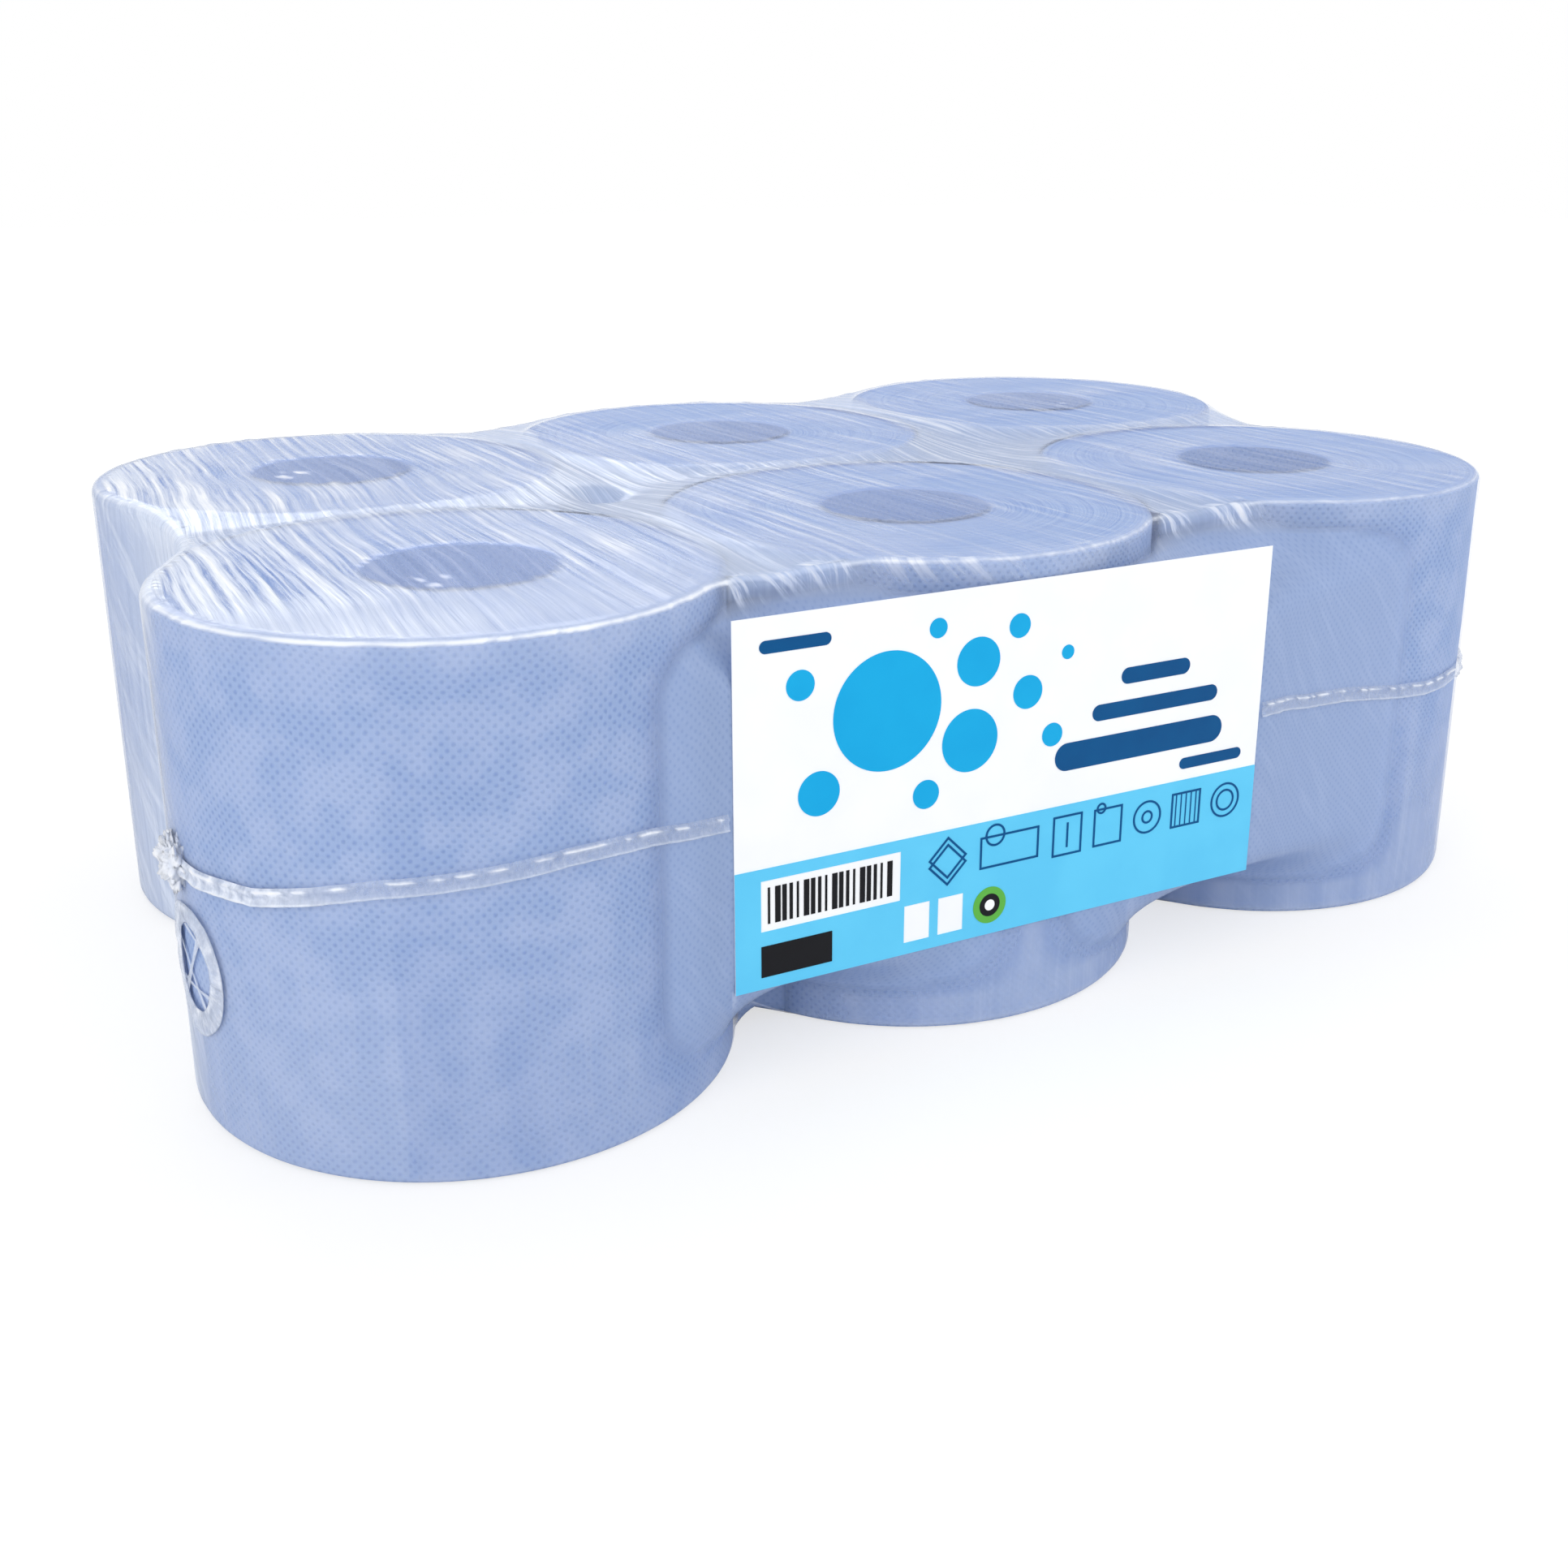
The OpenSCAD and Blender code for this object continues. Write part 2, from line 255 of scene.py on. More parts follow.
# %% Light the pack
MIDDLE = (0, 0, 0.1)
PANELS = {  # place, width and height in metres, power in watts, and whether the film mirrors it
    "overhead_panel": ((0.3, 0.5, 1.9), 1.8, 1.2, 6, True),
    "left_panel": ((-1.9, -0.9, 0.9), 0.9, 1.4, 11, True),
    "front_panel": ((0.7, -2.2, 1.3), 1.4, 1.0, 8, False),
    "right_panel": ((2.0, -1.4, 0.8), 0.9, 1.2, 8, False),
    "back_panel": ((0.2, 2.0, 1.2), 1.6, 0.6, 6, True),
}
for name, (place, width, height, power, mirrored) in PANELS.items():
    panel = bpy.data.lights.new(name, "AREA")
    panel.shape = "RECTANGLE"
    panel.size, panel.size_y, panel.energy = width, height, power
    lamp = bpy.data.objects.new(name, panel)
    bpy.context.scene.collection.objects.link(lamp)
    lamp.location = place
    lamp.rotation_euler = (Vector(place) - Vector(MIDDLE)).to_track_quat("Z", "Y").to_euler()
    lamp.visible_glossy = mirrored

SURROUND_LIT = 0.73
SURROUND_SEEN = 1.0
world = bpy.data.worlds.new("surround")
bpy.context.scene.world = world
world.use_nodes = True
w = Wiring(world.node_tree)
rays = w.node("ShaderNodeLightPath").outputs
seen = w.math("MAXIMUM", rays["Is Camera Ray"], rays["Is Transmission Ray"])
seen = w.math("MAXIMUM", seen, rays["Is Glossy Ray"])
surround = w.tree.nodes["Background"]
surround.inputs["Color"].default_value = (1, 1, 1, 1)
w.feed(surround.inputs["Strength"], w.ramp(seen, 0.0, 1.0, SURROUND_LIT, SURROUND_SEEN, smooth=False))
bpy.context.scene.view_settings.view_transform = "Standard"

# %% Lay the floor
FLOOR_HALF = 6.0
VEIL_FROM = 0.35
VEIL_TO = 1.1
VEIL_NEAR = 0.57
VEIL_GLOW = 1.15
floor_mesh = bpy.data.meshes.new("floor")
floor_corners = [(x * FLOOR_HALF, y * FLOOR_HALF, 0) for x, y in ((-1, -1), (1, -1), (1, 1), (-1, 1))]
floor_mesh.from_pydata(floor_corners, [], [(0, 1, 2, 3)])
floor = bpy.data.objects.new("floor", floor_mesh)
bpy.context.scene.collection.objects.link(floor)

floor_look, shader, w = new_material("pale_floor")
w.fill(shader, Base_Color=(0.9, 0.9, 0.9, 1), Roughness=0.9, Specular_IOR_Level=0.0)
far_share = w.ramp(w.on_object("LENGTH").outputs["Value"], VEIL_FROM, VEIL_TO, VEIL_NEAR)
veil_share = w.times(w.node("ShaderNodeLightPath").outputs["Is Camera Ray"], far_share)
floor_mix = w.node("ShaderNodeMixShader", Fac=veil_share)
w.feed(floor_mix.inputs[1], shader.outputs["BSDF"])
w.feed(floor_mix.inputs[2], w.node("ShaderNodeEmission", Strength=VEIL_GLOW).outputs["Emission"])
w.feed(w.tree.nodes["Material Output"].inputs["Surface"], floor_mix.outputs["Shader"])
floor.data.materials.append(floor_look)
print("floor", 2 * FLOOR_HALF, "m wide")

# %% [markdown]
# The paper is pressed with rows of small pits, each row set half a step along from the last, and
# between them it is slightly cloudy. Both effects are node groups, because the rolls' sides, their
# ends and the label's paper use them. A texture image could do the same, but a lattice worked out
# from the surface's own millimetres stays sharp at any distance.

# %% Group: pressed pits
pits, pits_in, pits_out, w = new_group(
    "pressed pits",
    [("Vector", "Vector", None), ("Across", "Float", 4.12), ("Up", "Float", 4.05), ("Size", "Float", 1.1)],
    ["Mask"],
)
wander = w.noise(pits_in["Vector"], 0.03, 2.0)
across_mm, up_mm, _ = w.split(pits_in["Vector"])
across_mm = w.plus(across_mm, w.times(wander, 6.0))
up_mm = w.plus(up_mm, w.times(wander, 8.0))
masks = []
for half in (0.0, 0.5):
    steps = []
    for length, step in ((across_mm, "Across"), (up_mm, "Up")):
        place = w.plus(w.math("DIVIDE", length, pits_in[step]), half)
        from_middle = w.minus(w.math("FRACT", place), 0.5)
        steps.append(w.times(from_middle, pits_in[step]))
    away = w.math("SQRT", w.plus(w.math("POWER", steps[0], 2.0), w.math("POWER", steps[1], 2.0)))
    masks.append(w.ramp(away, pits_in["Size"], 0.15))
w.feed(pits_out["Mask"], w.math("MAXIMUM", masks[0], masks[1]))
print("group:", pits.name)

# %% Group: paper fibre
fibre, fibre_in, fibre_out, w = new_group(
    "paper fibre",
    [("Vector", "Vector", None), ("Cloud Size", "Float", 0.05), ("Grain Size", "Float", 1.6)],
    ["Cloud", "Grain"],
)
w.feed(fibre_out["Cloud"], w.noise(fibre_in["Vector"], fibre_in["Cloud Size"], 3.0))
w.feed(fibre_out["Grain"], w.noise(fibre_in["Vector"], fibre_in["Grain Size"], 2.0))
print("group:", fibre.name)

# %% [markdown]
# Two finishes make a roll: the side, with its pits, and the ends, where the edges of the turns
# show as fine rings. The ends are paler, because loose paper edges scatter more light.

# %% Paper materials
PAPER = srgb(153, 175, 215)
PIT_SHADE = srgb(122, 147, 201)
PAPER_PALE = srgb(166, 184, 220)
PAPER_END = srgb(168, 188, 224)
TURN_SHADE = srgb(140, 164, 212)

paper_side, shader, w = new_material("embossed_paper")
mm = w.surface_mm()
marks = w.place(pits, Vector=mm)["Mask"]
cloud, grain = w.place(fibre, Vector=mm)
# The pits are darker with painted shade in their small hollows; the bump gives them their relief.
pit_shade_share = w.times(marks, w.ramp(cloud, 0.35, 0.65, 0.70, 0.34))
colour = w.blend(w.ramp(cloud, 0.38, 0.62), PAPER, PAPER_PALE)
relief = w.bump(w.minus(w.times(grain, 0.35), marks), 0.6, 0.4 * MM)
w.fill(shader, Base_Color=w.blend(pit_shade_share, colour, PIT_SHADE), Normal=relief, Specular_IOR_Level=0.25)
w.fill(shader, Roughness=w.ramp(grain, 0.3, 0.7, 0.82, 0.95))

paper_end, shader, w = new_material("paper_turns")
mm = w.surface_mm()
cloud, grain = w.place(fibre, Vector=mm, Grain_Size=2.5)
radius_mm, round_mm, _ = w.split(mm)
turns = w.noise(w.join(radius_mm, w.times(round_mm, 0.004)), 0.9, 3.0, 0.7)
colour = w.blend(w.ramp(turns, 0.35, 0.7), PAPER_END, TURN_SHADE)
relief = w.bump(w.plus(turns, w.times(grain, 0.3)), 0.5, 0.5 * MM)
w.fill(shader, Base_Color=colour, Normal=relief, Specular_IOR_Level=0.2)
w.fill(shader, Roughness=w.ramp(grain, 0.3, 0.7, 0.85, 0.97))
print("paper materials:", paper_side.name, paper_end.name)

# %% [markdown]
# A roll is turned from one outline: up the bore, out over the top, round the soft edge, down the
# side and back under. Modelling it as points on rings, and not as a plain cylinder, lets the bore
# sit off the axis on one roll, the ends rise and fall with the turns, and the side swell slightly.

# %% Helpers for meshes
rng = np.random.default_rng(7)
NOISE_SIDE = 256
noise_grid = rng.random((NOISE_SIDE, NOISE_SIDE))


def soft_noise(u, v, shift=0):
    """Smooth noise from 0 to 1 over a plane, from one fixed grid of random heights."""
    u = np.asarray(u, float) + 17.3 * shift
    v = np.asarray(v, float) + 31.7 * shift
    column, row = np.floor(u).astype(int), np.floor(v).astype(int)
    fu, fv = u - column, v - row
    fu, fv = fu * fu * (3 - 2 * fu), fv * fv * (3 - 2 * fv)

    def corner(i, j):
        return noise_grid[(column + i) % NOISE_SIDE, (row + j) % NOISE_SIDE]

    low = corner(0, 0) * (1 - fu) + corner(1, 0) * fu
    high = corner(0, 1) * (1 - fu) + corner(1, 1) * fu
    return low * (1 - fv) + high * fv


def smooth_step(value, low, high):
    """0 below low, 1 above high, and a smooth climb between."""
    share = np.clip((np.asarray(value, float) - low) / (high - low), 0, 1)
    return share * share * (3 - 2 * share)


def make_piece(name, points, faces, uv, masks=None):
    """A mesh piece from points in millimetres, with surface millimetres and masks for its material."""
    mesh = bpy.data.meshes.new(name)
    mesh.from_pydata((np.asarray(points) * MM).tolist(), [], faces)
    corner_point = np.empty(len(mesh.loops), dtype=np.int32)
    mesh.loops.foreach_get("vertex_index", corner_point)
    uv = np.asarray(uv)
    uv = uv[corner_point] if len(uv) == len(points) else uv
    mesh.uv_layers.new(name="mm").data.foreach_set("uv", uv.ravel())
    for label, values in (masks or {}).items():
        attribute = mesh.attributes.new(label, "FLOAT", "POINT")
        attribute.data.foreach_set("value", np.full(len(points), values, dtype=np.float32))
    mesh.polygons.foreach_set("use_smooth", [True] * len(mesh.polygons))
    mesh.update()
    piece = bpy.data.objects.new(name, mesh)
    bpy.context.scene.collection.objects.link(piece)
    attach(piece, "root")
    return piece


def ring_faces(rows, columns, closed=True, wrapped=False):
    """Quads over rings of points, row after row; wrapped joins the last row to the first."""
    faces = []
    for row in range(rows if wrapped else rows - 1):
        a, b = row * columns, (row + 1) % rows * columns
        for column in range(columns if closed else columns - 1):
            after = (column + 1) % columns
            faces.append((a + column, a + after, b + after, b + column))
    return faces


# %% Turn the six rolls
BORE_R = 36.5
BORE_SHIFT = 7.0
BORE_TOWARD = math.radians(-30)
EDGE_R = 2.5
ROUND_STEPS = 160
END_RINGS = 34
SIDE_ROWS = 22
TURN_RISE = 0.35
SIDE_SWELL = 0.5
END_SCALE = 60


def roll_outline():
    """Points (radius, height, share of the bore's shift, part) from the bore's foot round to it again."""
    flat = ROLL_R - EDGE_R - BORE_R
    quarter = np.linspace(0, math.pi / 2, 7)
    edge = [(ROLL_R - EDGE_R + EDGE_R * math.sin(turn), EDGE_R * (1 - math.cos(turn))) for turn in quarter]
    side_z = np.linspace(ROLL_TOP - EDGE_R, ROLL_BOTTOM + EDGE_R, SIDE_ROWS)[1:]
    rows = [(BORE_R, z, 1.0, "bore") for z in np.linspace(ROLL_BOTTOM, ROLL_TOP, 9)]
    rows += [(BORE_R + s * flat, ROLL_TOP, 1 - s, "end") for s in np.linspace(0, 1, END_RINGS)[1:]]
    rows += [(radius, ROLL_TOP - drop, 0.0, "side") for radius, drop in edge[1:]]
    rows += [(ROLL_R, z, 0.0, "side") for z in side_z]
    rows += [(radius, ROLL_BOTTOM + rise, 0.0, "side") for radius, rise in edge[-2::-1]]
    rows += [(BORE_R + s * flat, ROLL_BOTTOM, 1 - s, "end") for s in np.linspace(1, 0, 12)[1:]]
    return rows


def roll_points(rows, centre, shift, number):
    """Points of a roll: the ends rise and fall with the turns, and the side swells slightly."""
    angles = np.linspace(0, 2 * math.pi, ROUND_STEPS, endpoint=False)
    points = []
    for radius, z, share, kind in rows:
        height = np.full(ROUND_STEPS, z)
        if kind == "end" and 0 < share < 0.97:
            sink = TURN_RISE * soft_noise(radius * 0.35 + number, angles * 1.2, number)
            height = height - sink if z > ROLL_R else height + sink
        x = centre[0] + share * shift * math.cos(BORE_TOWARD) + radius * np.cos(angles)
        y = centre[1] + share * shift * math.sin(BORE_TOWARD) + radius * np.sin(angles)
        if kind == "side" and radius == ROLL_R:
            swell = SIDE_SWELL * soft_noise(angles * 3, z * 0.02, number)
            x, y = x - swell * np.cos(angles), y - swell * np.sin(angles)
        points.append(np.stack([x, y, height], 1))
    return np.concatenate(points)


def build_roll(name, number):
    """One wound roll that stands in for its plain solid."""
    rows = roll_outline()
    shift = BORE_SHIFT if name == "roll_front_left" else 0.0
    points = roll_points(rows, axes[name], shift, number)
    faces = ring_faces(len(rows), ROUND_STEPS, wrapped=True)
    corner_uv, face_kind = [], []
    step = 2 * math.pi / ROUND_STEPS
    for row, lower in enumerate(rows):
        upper = rows[(row + 1) % len(rows)]
        on_end = upper[3] == "end"
        wide = ROLL_R if lower[3] == "side" else BORE_R
        low, high = lower[1], upper[1]
        if on_end:
            low, high, wide = lower[0], upper[0], END_SCALE
        low += ROLL_R - lower[0] if lower[3] == "side" and not on_end else 0
        high += ROLL_R - upper[0] if upper[3] == "side" else 0
        for column in range(ROUND_STEPS):
            start, stop = column * step * wide, (column + 1) * step * wide
            corners = [(start, low), (stop, low), (stop, high), (start, high)]
            corner_uv.extend([(v, u) for u, v in corners] if on_end else corners)
        face_kind += [int(on_end)] * ROUND_STEPS
    piece = make_piece(name.replace("roll_", "towel_roll_"), points, faces, corner_uv)
    piece.data.materials.append(paper_side)
    piece.data.materials.append(paper_end)
    piece.data.polygons.foreach_set("material_index", face_kind)
    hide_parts(name)
    return piece


towel_rolls = [build_roll(name, number) for number, name in enumerate(FRONT + BACK)]
print("rolls:", len(towel_rolls), "of", len(towel_rolls[0].data.polygons), "faces")

# %% [markdown]
# The film is one thin skin round all six rolls. It lies on the rolls, bridges the valleys between
# them, and the label holds it flat across the front. A cloth simulation could shrink a bag on to
# the rolls, but the outline is simple enough to work out: arcs round the rolls, hollow arcs in the
# valleys and at the ends, and straight lines to the label. Blending between the two outlines with
# height gives the folds above and below the label.

# %% Outline of the film, seen from above
VALLEY_R = 18.0
FRONT_CREST_R = 70.0
BACK_CREST_R = 260.0
END_R = 150.0
STEP = 2.4
LABEL_MARGIN = 3.0
BEHIND_LABEL = 0.2
fl, fm, fr = (axes[name] for name in FRONT)
bl, bm, br = (axes[name] for name in BACK)


def hollow(first, second, radius):
    """Middle of a circle that touches two rolls, on the right of the way from first to second."""
    along = second - first
    length = np.hypot(*along)
    out = np.array([along[1], -along[0]]) / length
    return (first + second) / 2 + out * math.sqrt((FILM_R + radius) ** 2 - (length / 2) ** 2)


def row_line(x, row, out, valley_r=VALLEY_R):
    """The film's outline along a row of rolls, with valleys of the given radius; out is 1 or -1."""
    depth = np.zeros_like(x)
    for axis in row:
        inside = np.clip(FILM_R**2 - (x - axis[0]) ** 2, 0, None)
        depth = np.maximum(depth, np.sqrt(inside))
    for left, right in zip(row[:-1], row[1:]):
        half = (right[0] - left[0]) / 2
        middle = (right[0] + left[0]) / 2
        reach = math.sqrt((FILM_R + valley_r) ** 2 - half**2)
        touch = half * valley_r / (FILM_R + valley_r)
        near = np.abs(x - middle) < touch
        depth[near] = reach - np.sqrt(valley_r**2 - (x[near] - middle) ** 2)
    return np.stack([x, row[0][1] + out * depth], 1)


def touching(point, centre, side):
    """Where a line from a point touches a roll's film; side is 1 or -1."""
    away = point - centre
    turn = math.atan2(away[1], away[0]) + side * math.acos(min(1.0, FILM_R / np.hypot(*away)))
    return centre + FILM_R * np.array([math.cos(turn), math.sin(turn)])


label_points = node_points("label")
label_left_x, label_right_x = label_points[:, 0].min(), label_points[:, 0].max()
label_low_z, label_high_z = label_points[:, 2].min(), label_points[:, 2].max()
left_back = label_points[label_points[:, 0] < label_left_x + 2, 1].max()
right_back = label_points[label_points[:, 0] > label_right_x - 2, 1].max()
label_slope = (right_back - left_back) / (label_right_x - label_left_x)
margin_y = LABEL_MARGIN * label_slope
left_hold = np.array([label_left_x - LABEL_MARGIN, left_back - margin_y + BEHIND_LABEL])
right_hold = np.array([label_right_x + LABEL_MARGIN, right_back + margin_y + BEHIND_LABEL])
left_touch = touching(left_hold, fl, -1)
right_touch = touching(right_hold, fr, 1)
print("label from", round(label_left_x, 1), "to", round(label_right_x, 1), "mm, film held flat behind it")


# %% Columns of the film's side wall
def arc_points(centre, radius, start, stop):
    """Points along an arc, start to stop in radians, a step apart."""
    count = max(2, int(abs(stop - start) * radius / STEP))
    turns = np.linspace(start, stop, count, endpoint=False)
    return centre + radius * np.stack([np.cos(turns), np.sin(turns)], 1)


def bearing(centre, point):
    """Which way a point lies from a centre, from 0 to a full turn."""
    return math.atan2(point[1] - centre[1], point[0] - centre[0]) % full


full = 2 * math.pi
STRAIGHT_FROM = 60.0
STRAIGHT_STEP = 2.0
left_end = hollow(bl, fl, END_R)
right_end = hollow(fr, br, END_R)
front_x = np.arange(fl[0] - STRAIGHT_FROM, fr[0] + STRAIGHT_FROM, STRAIGHT_STEP)
back_x = np.arange(br[0] + STRAIGHT_FROM, bl[0] - STRAIGHT_FROM, -STRAIGHT_STEP)
front_free = row_line(front_x, [fl, fm, fr], -1)
held_y = np.interp(front_x, *np.transpose([left_touch, left_hold, right_hold, right_touch]))
stretched = (front_x > left_touch[0]) & (front_x < right_touch[0])
front_held = front_free.copy()
front_held[stretched, 1] = np.minimum(held_y[stretched], front_free[stretched, 1])
back_free = row_line(back_x, [bl, bm, br], 1)
front_crest = row_line(front_x, [fl, fm, fr], -1, FRONT_CREST_R)
back_crest = row_line(back_x, [bl, bm, br], 1, BACK_CREST_R)
front_angle = bearing(fl, front_free[0])
aside = math.sqrt(FILM_R**2 - STRAIGHT_FROM**2)
front_angle_right = bearing(fr, (fr[0] + STRAIGHT_FROM, fr[1] - aside))
back_angle = bearing(br, (br[0] + STRAIGHT_FROM, br[1] + aside))
back_angle_left = bearing(bl, (bl[0] - STRAIGHT_FROM, bl[1] + aside))
runs = [
    ("left_roll", arc_points(fl, FILM_R, bearing(fl, left_end), front_angle)),
    ("front", front_free),
    ("right_roll", arc_points(fr, FILM_R, front_angle_right, full + bearing(fr, right_end))),
    ("right_end", arc_points(right_end, END_R, bearing(right_end, fr), bearing(right_end, br))),
    ("back_right", arc_points(br, FILM_R, bearing(br, right_end) - full, back_angle)),
    ("back", back_free),
    ("back_left", arc_points(bl, FILM_R, back_angle_left, bearing(bl, left_end))),
    ("left_end", arc_points(left_end, END_R, bearing(left_end, bl), bearing(left_end, fl) - full)),
]
free = np.concatenate([points for _, points in runs])
held = np.concatenate([front_held if name == "front" else points for name, points in runs])
crests = {"front": front_crest, "back": back_crest}
crest = np.concatenate([crests.get(name, points) for name, points in runs])
run_of = np.concatenate([[name] * len(points) for name, points in runs])
gaps = np.hypot(*(np.roll(free, -1, axis=0) - free).T)
along_wall = np.concatenate([[0], np.cumsum(gaps)[:-1]])
COLUMNS = len(free)
print("film wall:", COLUMNS, "columns, longest step", round(gaps.max(), 1), "mm")
print("film's way round:", round(gaps.sum()), "mm")

# %% [markdown]
# On top, the film lies flat over each roll and sinks into the grooves between them, deepest into
# the pocket where four rolls meet on the left. The same height function serves the lid and the top
# of the wall, so the two meet exactly. Along the valleys the wall's top stretches straighter than
# its lower part.

# %% Height of the film's lid
SINK = 5.0
SINK_REACH = 20.0
POCKET_DEEP = 7.0
POCKET_WIDE = 12.0
all_axes = np.array(list(axes.values()))
pocket = (fl + fm + bl + bm) / 4


def outside_rolls(x, y):
    """How far a point lies outside the nearest roll's top face, in millimetres."""
    away = np.hypot(x[:, None] - all_axes[:, 0], y[:, None] - all_axes[:, 1])
    return np.clip(away.min(axis=1) - (ROLL_R - EDGE_R), 0, None)


def across_creases(x, y):
    """Place across the creases, which run front to back and fan out over the left end."""
    lean = 0.14 * smooth_step(-np.asarray(x), 20, 260)
    return x - lean * (y + 60) + 6 * soft_noise(np.asarray(x) * 0.01, np.asarray(y) * 0.01, 3)


def lid_height(x, y):
    """Height of the lid, with long creases from front to back and one pocket between four rolls."""
    from_pocket = (x - pocket[0]) ** 2 + (y - pocket[1]) ** 2
    depth = SINK * (1 - np.exp(-outside_rolls(x, y) / SINK_REACH))
    depth = depth + POCKET_DEEP * np.exp(-from_pocket / POCKET_WIDE**2)
    across = across_creases(x, y)
    ridge = soft_noise(across * 0.14, y * 0.006, 1) ** 3
    fine = soft_noise(across * 0.4, y * 0.012, 2) ** 2
    return FILM_TOP - 0.55 - depth + 0.6 * ridge + 0.25 * fine


# %% Rows of the film's side wall
RIM_R = 4.6
LEVELS = 56
FOOT_LIFT = 0.55
swing = np.cos(math.pi * np.linspace(0, 1, LEVELS))
level_shares = 0.5 - 0.5 * swing * (0.55 + 0.45 * np.abs(swing))


def outward(outline):
    """Unit ways out of a closed outline that runs counter-clockwise."""
    ahead = np.roll(outline, -1, axis=0) - np.roll(outline, 1, axis=0)
    return np.stack([ahead[:, 1], -ahead[:, 0]], 1) / np.hypot(*ahead.T)[:, None]


lid_ring = crest - outward(crest) * RIM_R
wall_top = lid_height(lid_ring[:, 0], lid_ring[:, 1])
valley_depth = outside_rolls(free[:, 0], free[:, 1])
wall_foot = FILM_BOTTOM + FOOT_LIFT * np.clip(valley_depth - 4, 0, 14)
HOLD_TOP = 9.0
HOLD_FOOT = 30.0
CREST_FROM = 36.0
CREST_TO = 7.0


def held_share(z):
    """How far the label holds the film at a height: 1 behind the label, 0 well above and below."""
    hold = smooth_step(z, label_low_z - HOLD_FOOT, label_low_z + 4)
    return hold * (1 - smooth_step(z, label_high_z - 2, label_high_z + HOLD_TOP + 4))


def wall_rows():
    """Rows of the wall's points from foot to top."""
    rows = []
    for level_share in level_shares:
        z = wall_foot + (wall_top - wall_foot) * level_share
        hold = held_share(z)
        base = free + (held - free) * hold[:, None]
        to_crest = 1 - smooth_step(wall_top - z, CREST_TO, CREST_FROM)
        base = base + (crest - base) * to_crest[:, None]
        out = outward(base)
        inset = np.zeros(COLUMNS)
        for edge in (wall_top - z, z - wall_foot):
            rise = np.clip(RIM_R - edge, 0, RIM_R)
            inset = np.maximum(inset, RIM_R - np.sqrt(RIM_R**2 - rise**2))
        slack = (1 - hold) * smooth_step(valley_depth, 2, 12) + 0.25
        fold = soft_noise(along_wall * 0.09, z * 0.012, 5) ** 2
        fold = fold + 0.4 * soft_noise(along_wall * 0.25, z * 0.03, 6) ** 2
        base = base + out * (slack * 0.7 * fold - inset)[:, None]
        rows.append(np.column_stack([base, z]))
    return np.array(rows)


wall = wall_rows()
print("wall rows:", wall.shape)

# %% [markdown]
# The lid's points stand close together across the creases and further apart along them, and a
# constrained Delaunay triangulation joins them to the wall's top ring. Filling the outline with a
# plain n-gon would leave no points for the creases.


# %% Triangulate a lid
CLEAR_OF_RING = 1.3


def inside(points, outline):
    """Which points lie inside a closed outline."""
    x, y = points[:, 0][:, None], points[:, 1][:, None]
    x0, y0 = outline[:, 0], outline[:, 1]
    x1, y1 = np.roll(x0, -1), np.roll(y0, -1)
    crosses = (y0 > y) != (y1 > y)
    with np.errstate(divide="ignore", invalid="ignore"):
        meets = x < (x1 - x0) * (y - y0) / (y1 - y0) + x0
    return (crosses & meets).sum(axis=1) % 2 == 1


def fill_outline(outline, across, along):
    """Triangles over an outline, whose own points come first, and the points that were used."""
    low, high = outline.min(0), outline.max(0)
    grid_x, grid_y = np.meshgrid(np.arange(low[0], high[0], across), np.arange(low[1], high[1], along))
    grid_x[1::2] += across / 2
    grid = np.stack([grid_x.ravel(), grid_y.ravel()], 1)
    kept = []
    for part in np.array_split(grid, 40):
        part = part[inside(part, outline)]
        if len(part):
            x, y = part[:, 0][:, None], part[:, 1][:, None]
            near = np.hypot(x - outline[:, 0], y - outline[:, 1]).min(axis=1)
            kept.append(part[near > CLEAR_OF_RING])
    points = np.concatenate([outline] + kept)
    border = [(i, (i + 1) % len(outline)) for i in range(len(outline))]
    flat, _, triangles, origin, _, _ = delaunay_2d_cdt(points.tolist(), border, [], 1, 1e-6)
    placed = np.array([tuple(p) for p in flat])
    order = np.array([source[0] if source else -1 for source in origin])
    return placed, triangles, order


lid_outline = wall[-1][:, :2]
lid_points, lid_faces, lid_order = fill_outline(lid_outline, 2.4, 5.0)
foot_points, foot_faces, foot_order = fill_outline(wall[0][:, :2], 12.0, 12.0)
print("lid:", len(lid_faces), "triangles; underside:", len(foot_faces))

# %% Place of the vent hole
VENT = {"y": fl[1] - 7.0, "z": 65.0, "half_wide": 19.0, "half_high": 21.0}
vent_angle = math.pi - math.asin((VENT["y"] - fl[1]) / FILM_R)
wall_angle = np.arctan2(free[:, 1] - fl[1], free[:, 0] - fl[0]) % full


def from_vent(angle, z):
    """Distance from the vent hole's middle, as a share of its size, on the left roll."""
    return np.hypot((angle - vent_angle) * FILM_R / VENT["half_wide"], (z - VENT["z"]) / VENT["half_high"])


on_left_roll = run_of == "left_roll"

# %% Join the film's wall, lid and underside
wall_points = wall.reshape(-1, 3)
wall_z = wall[:, :, 2]


def in_vent(face):
    """Whether a face of the wall lies in the vent hole."""
    column = face[0] % COLUMNS
    height = wall_points[list(face), 2].mean()
    return on_left_roll[column] and from_vent(wall_angle[column], height) < 1


def lid_index(order, ring_start, inner_start, points):
    """New numbers for a lid's points: ring points are the wall's own, the rest come after."""
    index = np.empty(len(points), dtype=int)
    on_ring = (order >= 0) & (order < COLUMNS)
    index[on_ring] = ring_start + order[on_ring]
    index[~on_ring] = inner_start + np.arange((~on_ring).sum())
    return index, ~on_ring


